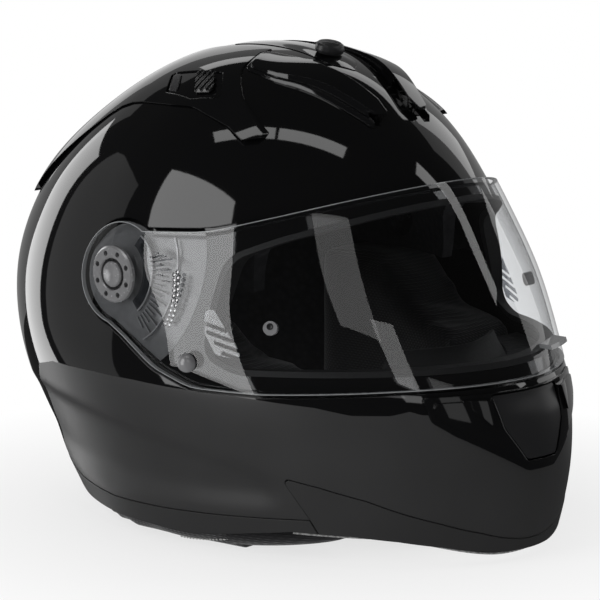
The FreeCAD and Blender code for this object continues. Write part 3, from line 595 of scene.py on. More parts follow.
# height of the border between gloss paint and matte paint, against distance back
BORDER = [(-160, 79), (-137, 79), (-133, 81), (-127, 79), (-112, 79), (-97, 82.5), (-60, 86), (-24, 87),
          (0, 88), (33, 88), (70, 87), (90, 82), (97, 70), (97.5, 30)]


def scaled(colour, factor):
    """A colour made lighter or darker."""
    return tuple(min(1, c * factor) for c in colour[:3]) + (1,)


def gloss_paint(name):
    """Deep black lacquer with faint orange peel and the odd fine scuff."""
    n = Nodes(name)
    scuff = n.remap(n.noise(60, 6.0, (1, 1, 6)), 0.62, 0.75, 0.0, 1.0)
    rough = n.remap(scuff, 0.0, 1.0, 0.035, 0.075)
    shade = n.blend(n.noise(14, 2.0), BLACK, (0.0042, 0.0043, 0.0047, 1))
    return n.surface(shade, rough, Normal=n.orange_peel(n.rounded_edge(0.0006)), Specular_IOR_Level=0.62)


def matte_paint(name, colour, rough):
    """Satin coat with a very fine grain and slight rub marks."""
    n = Nodes(name)
    rub = n.noise(26, 5.0)
    shade = n.blend(rub, colour, scaled(colour, 1.25))
    return n.surface(shade, n.remap(rub, 0.2, 0.8, rough - 0.03, rough + 0.04),
                     Normal=n.fine_grain(n.rounded_edge(0.0006)), Specular_IOR_Level=0.45)


def shell_paint(name):
    """Gloss lacquer above and satin charcoal below, masked along the jaw."""
    n = Nodes(name)
    split = n.add("ShaderNodeSeparateXYZ")
    n.wire(n.place, split.inputs[0])
    back, up = split.outputs[1], split.outputs[2]
    low, span, tall = -0.2, 0.4, 0.2
    share = n.maths("DIVIDE", n.maths("SUBTRACT", back, low), span)
    curve = n.add("ShaderNodeFloatCurve")
    line = curve.mapping.curves[0]
    places = [((y * MM - low) / span, z * MM / tall) for y, z in BORDER]
    line.points[0].location = (0.0, places[0][1])
    line.points[1].location = (1.0, 0.0)
    for place in places:
        line.points.new(*place)
    for point in line.points:
        point.handle_type = "VECTOR"
    curve.mapping.update()
    n.wire(share, curve.inputs[1])
    border = n.maths("MULTIPLY", curve.outputs[0], tall)
    matte = n.remap(n.maths("SUBTRACT", border, up), -0.00015, 0.00015)
    rub = n.noise(26, 5.0)
    satin = n.blend(rub, CHARCOAL, scaled(CHARCOAL, 1.25))
    edge = n.rounded_edge(0.0008)
    mix = n.add("ShaderNodeMix", data_type="VECTOR")
    n.wire(matte, mix.inputs[0])
    n.wire(n.orange_peel(edge), mix.inputs[4])
    n.wire(n.fine_grain(edge), mix.inputs[5])
    rough = n.remap(matte, 0.0, 1.0, 0.035, n.remap(rub, 0.2, 0.8, 0.39, 0.46))
    return n.surface(n.blend(matte, BLACK, satin), rough, Normal=mix.outputs[1],
                     Specular_IOR_Level=n.remap(matte, 0.0, 1.0, 0.62, 0.45))


def clear_glass(name, tint, sheen=1.0):
    """Clear moulded sheet: see-through face on, mirror-like at grazing angles."""
    n = Nodes(name)
    facing = n.add("ShaderNodeLayerWeight")
    facing.inputs[0].default_value = 0.5
    power = n.maths("POWER", facing.outputs[1], 4.2)
    outside = n.maths("SUBTRACT", 1.0, n.add("ShaderNodeNewGeometry").outputs["Backfacing"])
    share = n.maths("MULTIPLY", n.maths("ADD", 0.065, n.maths("MULTIPLY", power, 0.9)),
                    n.maths("MULTIPLY", outside, sheen))
    clear = n.add("ShaderNodeBsdfTransparent")
    haze = n.remap(n.noise(9, 3.0), 0.3, 0.7, 0.96, 1.0)
    tone = n.add("ShaderNodeMix", data_type="RGBA", blend_type="MULTIPLY")
    tone.inputs[0].default_value = 1.0
    tone.inputs[6].default_value = tint
    n.wire(haze, tone.inputs[7])
    n.wire(tone.outputs[2], clear.inputs[0])
    gloss = n.add("ShaderNodeBsdfGlossy")
    gloss.inputs["Roughness"].default_value = 0.02
    mix = n.add("ShaderNodeMixShader")
    n.wire(share, mix.inputs[0])
    n.wire(clear.outputs[0], mix.inputs[1])
    n.wire(gloss.outputs[0], mix.inputs[2])
    n.wire(mix.outputs[0], n.output.inputs[0])
    return n.material


def moulded(name, colour, rough, scale=420, depth=0.00004, **extra):
    """Moulded plastic or rubber with a spark-eroded grain."""
    n = Nodes(name)
    grain = n.noise(scale, 4.0)
    shade = n.blend(grain, colour, scaled(colour, 1.3))
    return n.surface(shade, n.remap(grain, 0.3, 0.7, rough - 0.05, rough + 0.07),
                     Normal=n.bump(grain, depth, 0.5), **extra)


def brushed_metal(name, colour, rough=0.28):
    """Metal with fine streaks."""
    n = Nodes(name)
    streak = n.noise(120, 4.0, (1, 14, 1))
    return n.surface(n.blend(streak, colour, scaled(colour, 0.75)),
                     n.remap(streak, 0.2, 0.8, rough - 0.08, rough + 0.12), Metallic=1.0,
                     Normal=n.bump(streak, 0.00002, 0.4))


def bead_foam(name):
    """Expanded polystyrene: packed beads of a few millimetres."""
    n = Nodes(name)
    beads = n.cells(260)
    shade = n.blend(beads, (0.016, 0.016, 0.018, 1), (0.006, 0.006, 0.007, 1))
    return n.surface(shade, 0.85, Normal=n.bump(beads, 0.0006, 0.6))


WAVE_DIVISOR = 6.28              # a pitch over this is the scale of the wave texture
KNIT_PITCH = 1400


def knitted(name, colour):
    """Brushed knitted lining with rows of stitches."""
    n = Nodes(name)
    rows = n.maths("MULTIPLY", *(n.bands(KNIT_PITCH / WAVE_DIVISOR, way) for way in ("Z", "DIAGONAL")))
    fuzz = n.noise(900, 4.0)
    height = n.maths("ADD", rows, n.maths("MULTIPLY", fuzz, 0.5))
    shade = n.blend(height, scaled(colour, 0.55), colour)
    return n.surface(shade, 0.9, Normal=n.bump(height, 0.0004, 0.6), Sheen_Weight=0.25)


def woven(name, colour, pitch):
    """Flat woven tape or cloth: over-and-under threads."""
    n = Nodes(name)
    warp, weft = n.bands(pitch / WAVE_DIVISOR, "X"), n.bands(pitch / WAVE_DIVISOR, "Y")
    height = n.maths("MAXIMUM", warp, weft)
    shade = n.blend(height, scaled(colour, 0.5), colour)
    return n.surface(shade, 0.75, Normal=n.bump(height, 0.0003, 0.7), Sheen_Weight=0.15)


SHELL = shell_paint("shell_paint")
GLOSS = gloss_paint("gloss_paint")
SATIN = matte_paint("satin_plastic", (0.014, 0.014, 0.015, 1), 0.36)
TRIM = matte_paint("trim_plastic", (0.024, 0.024, 0.0245, 1), 0.45)
CLEAR = clear_glass("visor_clear", (0.95, 0.955, 0.96, 1))
SMOKE = clear_glass("sun_tint", (0.10, 0.10, 0.11, 1), 0.8)
DARK = moulded("dark_plastic", (0.006, 0.006, 0.0065, 1), 0.3)
RUBBER = moulded("rubber", (0.009, 0.009, 0.0095, 1), 0.6, 700, 0.00006)
FOAM = bead_foam("foam")
LINING = knitted("comfort_fabric", (0.013, 0.013, 0.015, 1))
CURTAIN = woven("curtain_fabric", (0.34, 0.34, 0.34, 1), 700)
WEBBING = woven("webbing", (0.012, 0.012, 0.013, 1), 500)
SILVER = moulded("slip_ring_grey", (0.21, 0.21, 0.215, 1), 0.22, 500, 0.00002, Metallic=0.35)
CHROME = brushed_metal("ratchet_chrome", (0.75, 0.75, 0.76, 1), 0.16)
SMOKED = moulded("base_plate_smoked", (0.10, 0.101, 0.104, 1), 0.16, 300, 0.00003, Specular_IOR_Level=0.8)
# Light grey: on the visor's rim it is a painted highlight standing for the bright line along the clear edge;
# the visor tab uses it too.
VISOR_GREY_AND_EDGE_HIGHLIGHT = moulded("visor_grey_and_edge_highlight", (0.20, 0.205, 0.21, 1), 0.12, 300, 0.00001, Specular_IOR_Level=0.9)
PEARL = moulded("pearl", (0.17, 0.17, 0.175, 1), 0.12, 300, 0.00001, Specular_IOR_Level=0.8)
CRYSTAL = clear_glass("crystal", (0.62, 0.63, 0.65, 1), 2.2)
STEEL = brushed_metal("steel", (0.56, 0.56, 0.57, 1))
THREAD = woven("thread", (0.55, 0.55, 0.54, 1), 1200)

# ---------------------------------------------------------------- painted shell, trims and visor
VISOR_TURN, HUB_TURN, VISOR_LEVELS = 116, 50, (0.36, 0.82)
VISOR_ZONE, CHIN_ZONE = ((-VISOR_TURN, VISOR_TURN), VISOR_LEVELS), ((-34, 34), (0.70, 0.93))
OUTSIDE = -12.0
VISOR_OUTLINE = [(-200, 196), (-119, 190), (-106, 187.5, 30), (-66, 174.5, 60), (-36, 165.5, 60),
                 (18, 162.5, 4), (34, 124, 3), (8, 110, 30), (-13, 96.5, 40), (-36, 88, 30),
                 (-73, 87.5, 60), (-130, 90.5), (-200, 93)]
PORT_OUTLINE = [(-230, 198), (-119, 182), (-104, 178, 20), (-66, 163.5, 40), (-46, 154, 12), (-42, 104, 11),
                (-58, 96, 24), (-230, 99)]
SEAM = [(190, 38), (125, 31), (73, 21), (36, 18), (-4, 19), (-40, 20.5), (-89, 23), (-78, 45, 2), (-96, 41),
        (-116, 35), (-129, 29), (-143, 23), (-154, 17), (-161, 11), (-190, 5)]
HEM = [(-190, 2.5), (-157, 5), (-141, 10), (-126, 13), (-108, 15), (-80, 15.5), (-50, 11), (-22, 7),
       (36, 7.5), (73, 10), (125, 20), (190, 26)]
SPLIT, HEM_SPLIT = 6, (-92, 15.2)
SHUTTER_OUTLINE = [(-25, 86, 2), (-22, 70, 6), (-11, 53.5, 3), (11, 53.5, 3), (22, 70, 6), (25, 86, 2)]
FRAME_OUTLINE = [(-58, 87.5, 2), (-55, 75, 4), (-46, 68, 5), (-27, 57, 8), (-10, 47.5, 6)]
FRAME_OUTLINE += [(-x, z, r) for x, z, r in FRAME_OUTLINE[::-1]]
HUB, PLATE_RADIUS = 26.0, 50.0
CHIN_VIEW = ("front", -200, -100)
RECESS_GAP, SHUTTER_GAP = 1.5, 0.8


def side_zone(sign):
    """Turns and levels of the visor's zone round one pivot."""
    return (HUB_TURN, VISOR_TURN) if sign > 0 else (-VISOR_TURN, -HUB_TURN), VISOR_LEVELS


def visor_prism(margin):
    """Tool for the closed visor's outline in side view, with its round hub."""
    tool = prism(rounded(grown(VISOR_OUTLINE, margin)))
    return fuse(tool, across_disc(HUB + margin, -201, 201, 1))


outer_shell = slab("outer_shell", envelope(creased_depth), envelope(inner_depth))
cut(outer_shell, prism(rounded(SEAM + [(-190, -60), (190, -60)])))
recess = slab("recess", visor_face(OUTSIDE), visor_face(3.9), *VISOR_ZONE)
cut(outer_shell, common(recess, visor_prism(RECESS_GAP)))
for sign in SIDES.values():
    pocket = slab("pocket", visor_face(OUTSIDE), visor_face(7.2), *side_zone(sign))
    common(pocket, visor_prism(RECESS_GAP))
    cut(outer_shell, common(pocket, across_disc(PLATE_RADIUS + 0.6, 60, 160, sign)))
cut(outer_shell, prism(rounded(PORT_OUTLINE)))
cut(outer_shell, prism(rounded(grown(SHUTTER_OUTLINE, SHUTTER_GAP)), *CHIN_VIEW))
finished(outer_shell, "painted_shell", SHELL, SHELL_BODY, "gloss_shell", "outer_shell")

for word in ("front", "rear"):
    ahead = word == "front"
    band = slab("trim", envelope(-0.3), envelope(4.3), (-64, 64) if ahead else (34, 326), (0.84, 1.03))
    hem = [p for p in HEM if (p[0] < HEM_SPLIT[0]) == ahead]
    if ahead:
        outline = SEAM[SPLIT + 1:] + hem + [HEM_SPLIT, SEAM[SPLIT]]
    else:
        outline = SEAM[:SPLIT + 1] + [HEM_SPLIT] + hem
    common(band, prism(rounded(grown(outline, -0.35))))
    finished(band, "trim_" + word, TRIM, SHELL_BODY, "matte_shell", "lower_trim_" + word)

visor = slab("visor", visor_face(0), visor_face(2.2), *VISOR_ZONE, fine=0.9)
common(visor, visor_prism(0))
for sign in SIDES.values():
    cut(visor, across_disc(7.7, 110, 140, sign))
finished(visor, "visor_shield", CLEAR, VISOR_BODY, "visor_clear", "visor")

# Thin band round the visor's edge, coloured light grey as a painted highlight of the clear edge's bright
# line.
visor_rim_highlight = slab("rim", visor_face(-0.05), visor_face(2.25), *VISOR_ZONE, fine=0.9)
common(visor_rim_highlight, visor_prism(0.05))
cut(visor_rim_highlight, visor_prism(-0.45))
finished(visor_rim_highlight, "visor_rim_highlight", VISOR_GREY_AND_EDGE_HIGHLIGHT, VISOR_BODY, "visor_clear")

FACET = [(-41, 85.5), (-26.8, 84.5), (-30.0, 72.0)]


def facet_depth(turn, level):
    """The facet rises towards the shutter."""
    return -1.3 - 2.6 * smooth(np.abs(master(turn, level)[..., 0]), 44, 25)


chin_frame = slab("frame", envelope(-1.1), envelope(-0.02), *CHIN_ZONE, fine=0.6)
common(chin_frame, prism(rounded(FRAME_OUTLINE), *CHIN_VIEW))
panel = slab("panel", envelope(-2.2), envelope(-0.05), *CHIN_ZONE, fine=0.6)
fuse(chin_frame, common(panel, prism(rounded(grown(FRAME_OUTLINE, -2.8)), *CHIN_VIEW)))
for sign in SIDES.values():
    facet = slab("facet", envelope(facet_depth), envelope(-0.5), *CHIN_ZONE, fine=0.6)
    common(facet, prism([(-sign * x, z) for x, z in FACET], *CHIN_VIEW))
    fuse(chin_frame, facet)
cut(chin_frame, prism(rounded(grown(SHUTTER_OUTLINE, SHUTTER_GAP)), *CHIN_VIEW))
finished(chin_frame, "chin_frame", GLOSS, SHELL_BODY, "gloss_shell", "chin_vent_frame")


def shutter_depth(turn, level):
    """The shutter is dished along its top edge and swells below it."""
    up = master(turn, level)[..., 2]
    return -1.8 + 1.5 * smooth(up, 72, 85)


shutter = slab("shutter", envelope(shutter_depth), envelope(0.9), *CHIN_ZONE, fine=0.6)
common(shutter, prism(rounded(SHUTTER_OUTLINE), *CHIN_VIEW))
finished(shutter, "chin_shutter", SATIN, "chin_vent_shutter", "satin_plastic", "chin_vent_shutter")

# ---------------------------------------------------------------- crown: scoops, wing and slider
SCOOP_OUTLINE = [(-6, -77, 3), (-19, -36, 30), (-26, 2, 4), (-46, -4, 4), (-45, -24, 30), (-22, -72, 4)]
SPOILER_OUTLINE = [(-43, 210.5, 1.5), (-18, 227.5, 8), (-2, 241, 8), (8, 262), (185, 262), (185, 166),
                   (133, 166, 8), (56, 222, 40), (5, 223, 30), (-22, 215, 10), (-33, 209, 2)]
SLOT_OUTLINE = [(-55, 40, 2), (-53, 5, 2), (-67, -7, 2), (-72, 10, 3), (-69, 31, 2)]


def sided(outline, sign):
    """Tool standing on an outline in the top view, on the wearer's right or left."""
    return prism(rounded(outline), "top", 150, 300, mirror=sign > 0)


def scoop_height(turn, level):
    """The scoops rise towards their mouths."""
    return 2.0 + 3.5 * smooth(-master(turn, level)[..., 1], 5, 50)


def above(sign):
    """Turns and levels of the crown on one side."""
    return ((8, 150) if sign > 0 else (-150, -8)), (0.05, 0.36)


for word, sign in SIDES.items():
    body = slab("scoop", raised(scoop_height), raised(0.02), *above(sign), fine=0.7)
    common(body, sided(grown(SCOOP_OUTLINE, -1.8), sign))
    step = slab("step", raised(lambda t, v: scoop_height(t, v) * 0.45), raised(0.02), *above(sign), fine=0.7)
    fuse(body, common(step, sided(SCOOP_OUTLINE, sign)))
    throat = slab("throat", raised(lambda t, v: scoop_height(t, v) - 1.3), raised(-1), *above(sign), fine=0.7)
    cut(body, common(throat, sided([(-9, -90, 1), (-13, -52, 1), (-23, -52, 1), (-20, -90, 1)], sign)))
    finished(body, "scoop_" + word, GLOSS, SHELL_BODY, "gloss_shell", "top_vent_scoop_" + word)


def wing_height(turn, level):
    """The wing is thin along its sides, opens a little at its front tips and rises to its rear crest."""
    back = master(turn, level)[..., 1]
    return 0.8 + 2.2 * smooth(back, 60, 135) + 2.0 * smooth(-back, 8, 38)


wing = slab("wing", raised(wing_height), raised(0.02), (38, 322), (0.05, 0.66), fine=0.8)
common(wing, prism(rounded(SPOILER_OUTLINE)))
cut(wing, prism([(-20, -50), (20, -50), (20, 70), (-20, 70)], "top", 180, 280))
for sign in SIDES.values():
    cut(wing, sided(SLOT_OUTLINE, sign))
    cut(wing, sided(grown(SCOOP_OUTLINE, 1.0), sign))
finished(wing, "rear_wing", GLOSS, SHELL_BODY, "gloss_shell", "rear_spoiler")


def slider_height(turn, level):
    """Finger grips across the slider."""
    return 2.0 + 0.7 * np.sin(master(turn, level)[..., 1] * 2 * math.pi / 3.4)


def track_height(turn, level):
    """Teardrop swelling under the knob."""
    place = master(turn, level)
    across, back = np.abs(place[..., 0]), place[..., 1]
    return 0.35 + 0.95 * (1 - smooth(across, 3, 11.5)) * smooth(back, -40, -24) * (1 - smooth(back, -8, 34))


for word, sign in SIDES.items():
    slider = slab("slider", raised(slider_height), raised(1.0), *above(sign), fine=0.3)
    common(slider, sided([(-57, 21, 1), (-56, 8.5, 1), (-66, -1, 2), (-69, 10, 2)], sign))
    finished(slider, "vent_slider_" + word, GLOSS, "top_vent_slider_" + word, "satin_plastic",
             "top_vent_slider_" + word)
TRACK_OUTLINE = [(0, -40, 2), (-11, -30, 6), (-12, 36), (12, 36), (11, -30, 6)]
track = slab("track", raised(track_height), raised(0.02), levels=(0.0, 0.32), fine=0.9)
common(track, prism(rounded(TRACK_OUTLINE), "top", 200, 280))
finished(track, "knob_track", GLOSS, SHELL_BODY, "gloss_shell", "sun_shield_track")

KNOB_CENTRE, KNOB_AXIS = (0, -21.1, 248.6), (0.0, -0.223, 0.975)
KNOB_SQUEEZE = 0.74              # its length along the slider over its width
RIDGES, RIDGE_PITCH, RIDGE_UP, RIDGE_SLOPE = 5, 2.0, 251.0, 0.228
knob = turned([(-1.0, 0.01), (-1.0, 8.4), (0.6, 9.0), (2.9, 8.3), (3.6, 7.3), (3.0, 4.8), (2.5, 0.01)],
              KNOB_CENTRE, KNOB_AXIS, name="knob")
for vertex in knob.data.vertices:
    middle = KNOB_CENTRE[1] * MM
    vertex.co.y = middle + (vertex.co.y - middle) * KNOB_SQUEEZE
for k in range(RIDGES):
    away = RIDGE_PITCH * (k - RIDGES // 2)
    back, up = KNOB_CENTRE[1] + away, RIDGE_UP + RIDGE_SLOPE * away
    ridge = [(x, back + y, up + z) for x in (-6.2, 6.2)
             for y, z in ((-0.45, -1.5), (0.45, -1.5), (0.25, 0.95), (-0.25, 0.95))]
    fuse(knob, mesh_object("ridge", ridge, BOX_FACES))
finished(knob, "shade_knob", SATIN, "sun_shield_knob", "satin_plastic", "sun_shield_knob")

# ---------------------------------------------------------------- visor mechanism
RING_HOLES, HOLE_RADIUS, RING_PITCH = 8, 1.4, 11.2
CRESCENT, FAN_EDGE = (16.5, 22.0), 36.0          # radii about the pivot
CRESCENT_ANGLES, FAN_ANGLES = (-52, 62), (-62, 34)
LIP = 0.8                        # width of the bright edges
RIBS, RIB_START, RIB_PITCH, RIB_HALF = 17, -58, 5.2, 0.3
RIB_INNER, RIB_SHORT, RIB_LONG = 25, 31, 35.5
LINKS, LINK_START, LINK_PITCH, CHAIN_RADIUS, CHAIN_DEPTH = 11, 6, -3.9, 41.0, 3.8
BEAD, BEAD_FLAT, BEAD_RINGS, BEAD_COUNT = 1.3, 0.7, 5, 8
PEG = (100.0, -74.0, 121.0)
SOCKET = [(0.9, 0.01), (0.9, 1.5), (1.15, 1.7), (1.15, 1.0), (1.02, 0.6), (1.02, 0.01)]
RELIEF = [(-42, 127, 3), (-46, 129, 3), (-62, 107, 3), (-60, 104, 3), (-49, 106, 3), (-43, 116, 3)]
GROOVES, GROOVE = 4, [(-40, 123), (-54, 119), (-54, 117), (-40, 121)]
GROOVE_STEP = (-4, -5.0)


def plate_top(turn, level):
    """The base plate sinks outwards from the pivot and towards its top."""
    place = master(turn, level)
    outwards, upwards = smooth(pivot_distance(place), 26, 50), smooth(place[..., 2], 147, 162)
    return np.minimum(6.4, 4.1 + 2.1 * outwards + 2.3 * upwards)


def polar(radius, angle):
    """Distance back and height of a place about the pivot; the angle is in degrees above the front."""
    a = math.radians(angle)
    return PIVOT[0] - radius * math.cos(a), PIVOT[1] + radius * math.sin(a)


def pivot_parts(word, sign):
    """The visor's slip ring with holes through it, the button in it and the collar between them."""
    axis, centre = (sign, 0, 0), (sign * PIVOT_ACROSS, *PIVOT)
    ring = turned([(-0.9, 8.2), (1.0, 8.2), (1.5, 8.8), (1.5, 13.6), (0.7, 14.6), (-0.9, 14.7), (-0.9, 8.2)],
                  centre, axis, name="ring")
    for k in range(RING_HOLES):
        angle = math.radians(360 / RING_HOLES * (k + 0.5))
        back = PIVOT[0] + RING_PITCH * math.cos(angle)
        up = PIVOT[1] + RING_PITCH * math.sin(angle)
        cut(ring, across_disc(HOLE_RADIUS, 123, 128, sign, back, up, 20))
    finished(ring, "slip_ring_" + word, SILVER, VISOR_BODY, "mechanism_grey", "visor_pivot_ring_" + word)
    button = turned([(-4, 0.01), (-4, 6.6), (1.2, 6.6), (1.9, 6.0), (1.9, 5.2), (1.3, 3.5), (1.0, 0.01)],
                    centre, axis, name="button")
    finished(button, "press_button_" + word, SILVER, "release_button_" + word, "mechanism_grey",
             "release_button_" + word)
    collar = turned([(-5.5, 6.9), (0.4, 6.9), (0.4, 8.1), (-5.5, 8.1), (-5.5, 6.9)],
                    centre, axis, name="collar")
    finished(collar, "button_collar_" + word, DARK, SHELL_BODY, "mechanism_grey")


def base_plate(word, sign):
    """Smoked plate under the visor's hub."""
    plate = slab("plate", visor_face(plate_top), visor_face(7.15), *side_zone(sign), fine=0.8)
    common(plate, visor_prism(-RECESS_GAP))
    common(plate, across_disc(PLATE_RADIUS, 60, 160, sign))
    cut(plate, across_disc(6.9, 100, 140, sign))
    finished(plate, "base_plate_" + word, SMOKED, SHELL_BODY, "mechanism_grey", "visor_base_plate_" + word)


def arc_band(name, sign, radii, ends, top, finish):
    """Band between two radii and two angles, at depths that leave it just above the plate."""
    count = max(2, int(abs(ends[1] - ends[0]) / 4))
    angles = [ends[0] + (ends[1] - ends[0]) * k / count for k in range(count + 1)]
    ring = [polar(radii[1], a) for a in angles] + [polar(radii[0], a) for a in angles[::-1]]
    band = slab("band", visor_face(top), visor_face(3.9), *side_zone(sign), fine=1.0)
    common(band, prism(ring))
    finished(band, name, finish, SHELL_BODY, "mechanism_grey")


def fan_ribs(word, sign):
    """Thin ribs that spread from the pivot, long and short in turn."""
    points, faces = [], []
    for k in range(RIBS):
        radii = RIB_INNER, RIB_LONG if k % 2 else RIB_SHORT
        a, b = (np.array(polar(radius, RIB_START + RIB_PITCH * k)) for radius in radii)
        side = np.array([-(b - a)[1], (b - a)[0]]) / np.linalg.norm(b - a) * RIB_HALF
        base = len(points)
        for depth in (4.2, 3.2):
            for corner in (a - side, b - side, b + side, a + side):
                sunk = float(np.interp(np.hypot(*(corner - PIVOT)), [20, 38], [0.0, 0.8]))
                points.append((sign * (PIVOT_ACROSS - depth - sunk), *corner))
        faces += [[base + q for q in face] for face in BOX_FACES]
    finished(mesh_object("ribs", points, faces), "fan_ribs_" + word, SILVER, SHELL_BODY, "mechanism_grey")


def ratchet_chain(word, sign):
    """The ratchet strip that the visor clicks along: a chain of bright beads in pairs."""
    points, faces = [], []
    for k in range(LINKS):
        for shift in (-1, 1):
            y, z = polar(CHAIN_RADIUS + shift * BEAD, LINK_START + LINK_PITCH * k + shift * 0.9)
            base = len(points)
            for v in np.linspace(0, math.pi, BEAD_RINGS):
                across, wide = PIVOT_ACROSS - CHAIN_DEPTH + BEAD_FLAT * math.cos(v), BEAD * math.sin(v)
                for u in np.linspace(0, 2 * math.pi, BEAD_COUNT, endpoint=False):
                    points.append((sign * across, y + wide * math.cos(u), z + wide * math.sin(u)))
            faces += tube_faces(BEAD_RINGS, BEAD_COUNT, base, caps=False)
    finished(mesh_object("ratchet", points, faces), "ratchet_chain_" + word, CHROME, SHELL_BODY,
             "mechanism_grey", "detent_rack_" + word)


def peg_socket(word, sign):
    """Dark socket in the middle of the visor's peg."""
    turn, level = np.meshgrid(np.radians(np.linspace(30, 90, 121)), np.linspace(0.5, 0.8, 121))
    gap = master(turn * sign, level) - np.array([sign * PEG[0], *PEG[1:]])
    nearest = np.unravel_index((gap**2).sum(-1).argmin(), gap.shape[:2])
    turn, level = np.array(sign * turn[nearest]), np.array(level[nearest])
    socket = turned(SOCKET, master(turn, level), normal(turn, level), 32, "socket")
    finished(socket, "peg_socket_" + word, DARK, VISOR_BODY, "mechanism_grey")


def visor_relief(word, sign):
    """Moulded ribs on the inside of the visor, ahead of the mechanism."""
    relief = slab("relief", visor_face(2.3), visor_face(2.9), *side_zone(sign), fine=0.7)
    common(relief, prism(rounded(RELIEF)))
    for k in range(GROOVES):
        cut(relief, prism([(y + GROOVE_STEP[0] * k, z + GROOVE_STEP[1] * k) for y, z in GROOVE]))
    finished(relief, "visor_relief_" + word, CRYSTAL, VISOR_BODY, "visor_clear")


for word, sign in SIDES.items():
    pivot_parts(word, sign)
    base_plate(word, sign)
    arc_band("crescent_" + word, sign, CRESCENT, CRESCENT_ANGLES, 2.7, CRYSTAL)
    arc_band("crescent_lip_" + word, sign, (CRESCENT[1], CRESCENT[1] + LIP), CRESCENT_ANGLES, 2.5, SILVER)
    arc_band("fan_edge_" + word, sign, (FAN_EDGE, FAN_EDGE + LIP), FAN_ANGLES, 3.0, SILVER)
    fan_ribs(word, sign)
    ratchet_chain(word, sign)
    peg_socket(word, sign)
    visor_relief(word, sign)

# ---------------------------------------------------------------- soft goods
PRESSURE, VOXEL, TRAVEL, STEPS = 4.0, 0.006, 0.004, 20


def pillow(node):
    """A solid blown up gently as cloth, so that its faces swell between its edges."""
    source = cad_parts[node]
    obj = link(node + "_cushion", source.data.copy())
    obj.matrix_world = source.matrix_world
    obj.data.transform(obj.matrix_world)
    obj.matrix_world.identity()
    remesh = obj.modifiers.new("remesh", "REMESH")
    remesh.mode, remesh.voxel_size = "VOXEL", VOXEL
    applied(obj)
    rest = pulled(obj.data.vertices, "co", 3)
    cloth = obj.modifiers.new("cloth", "CLOTH")
    cloth.settings.use_pressure = True
    cloth.settings.uniform_pressure_force = PRESSURE
    cloth.settings.effector_weights.gravity = 0
    cloth.settings.quality = 4
    for number in range(1, STEPS + 1):
        bpy.context.scene.frame_set(number)
    graph = bpy.context.evaluated_depsgraph_get()
    blown = bpy.data.meshes.new_from_object(obj.evaluated_get(graph))
    step = pulled(blown.vertices, "co", 3) - rest
    length = np.linalg.norm(step, axis=1, keepdims=True)
    step *= np.minimum(1, TRAVEL / np.maximum(length, 1e-9))
    obj.modifiers.clear()
    obj.data = blown
    blown.vertices.foreach_set("co", (rest + step).ravel())
    bpy.context.scene.frame_set(1)
    finer = obj.modifiers.new("finer", "SUBSURF")
    finer.levels = finer.render_levels = 1
    applied(obj)
    obj.data.shade_smooth()
    return obj


PADS = {"crown_pad": 1.0, "neck_roll": 0.9, "cheek_pad_right": 0.9, "cheek_pad_left": 0.9}
for node, fill in PADS.items():
    pad = pillow(node)
    finished(pad, node + "_soft", LINING, SHELL_BODY, "comfort_fabric", node, normals=False)


CURTAIN_TURNS, CURTAIN_DEPTHS, CURTAIN_THICK = 50, (7.0, 43.0), 1.1
turn, share = np.meshgrid(np.radians(np.linspace(-CURTAIN_TURNS, CURTAIN_TURNS, 81)), np.linspace(0, 1, 25))
depth = CURTAIN_DEPTHS[0] + (CURTAIN_DEPTHS[1] - CURTAIN_DEPTHS[0]) * share
level = np.full_like(turn, 0.985)
cloth_points = master(turn, level) - normal(turn, level) * depth[..., None]
lift = 10.0 * smooth(np.abs(np.degrees(turn)), 4, 30)
slack = 1.0 * np.sin(math.pi * share) * np.cos(np.degrees(turn) / CURTAIN_TURNS * math.pi / 2)
ripple = 0.25 * np.sin(turn * 34) * share
cloth_points[..., 2] = 2.2 + lift - slack + ripple
curtain = between("wind_curtain", cloth_points, cloth_points + np.array([0, 0, CURTAIN_THICK]))
curtain.data.shade_smooth()
finished(curtain, "wind_curtain", CURTAIN, SHELL_BODY, "curtain_fabric", "chin_curtain", normals=False)


def hem_place(turn, level):
    """A place on the envelope at a turn in degrees, and the level direction that points out of it."""
    turn, level = np.array(math.radians(turn)), np.array(level)
    place, out = master(turn, level), normal(turn, level)
    return place, np.array([out[0], out[1], 0]) / np.hypot(out[0], out[1])


ROLL_START, ROLL_END = 70, 38       # turns in degrees
ROLL_STEPS, ROLL_RING, ROLL_WIDE, ROLL_TALL, ROLL_DEPTH = 40, 20, 9, 6.8, 17


def neck_roll_end(word, sign):
    """Tapering padded roll that carries the neck padding forward along the hem."""
    points = []
    for k in range(ROLL_STEPS + 1):
        share = k / ROLL_STEPS
        swell = math.sqrt(max(0.02, math.sin(math.pi * min(1.0, 0.5 + share * 0.5))))
        place, flat = hem_place(sign * (ROLL_START + (ROLL_END - ROLL_START) * share), 0.975)
        middle = place - flat * ROLL_DEPTH
        middle[2] = 7.4 + 3.6 * share
        for j in range(ROLL_RING):
            u = 2 * math.pi * j / ROLL_RING
            points.append(middle + flat * ROLL_WIDE * swell * math.cos(u)
                          + np.array([0, 0, ROLL_TALL * swell * math.sin(u)]))
    obj = mesh_object("roll", points, tube_faces(ROLL_STEPS + 1, ROLL_RING))
    return finished(obj, "neck_roll_end_" + word, LINING, SHELL_BODY, "comfort_fabric")


STITCHES, STITCH_START, STITCH_PITCH, STITCH_RING = 22, 86, 1.15, 6
STITCH_SECTIONS = ((-0.85, 0.12), (-0.4, 0.42), (0.4, 0.42), (0.85, 0.12))


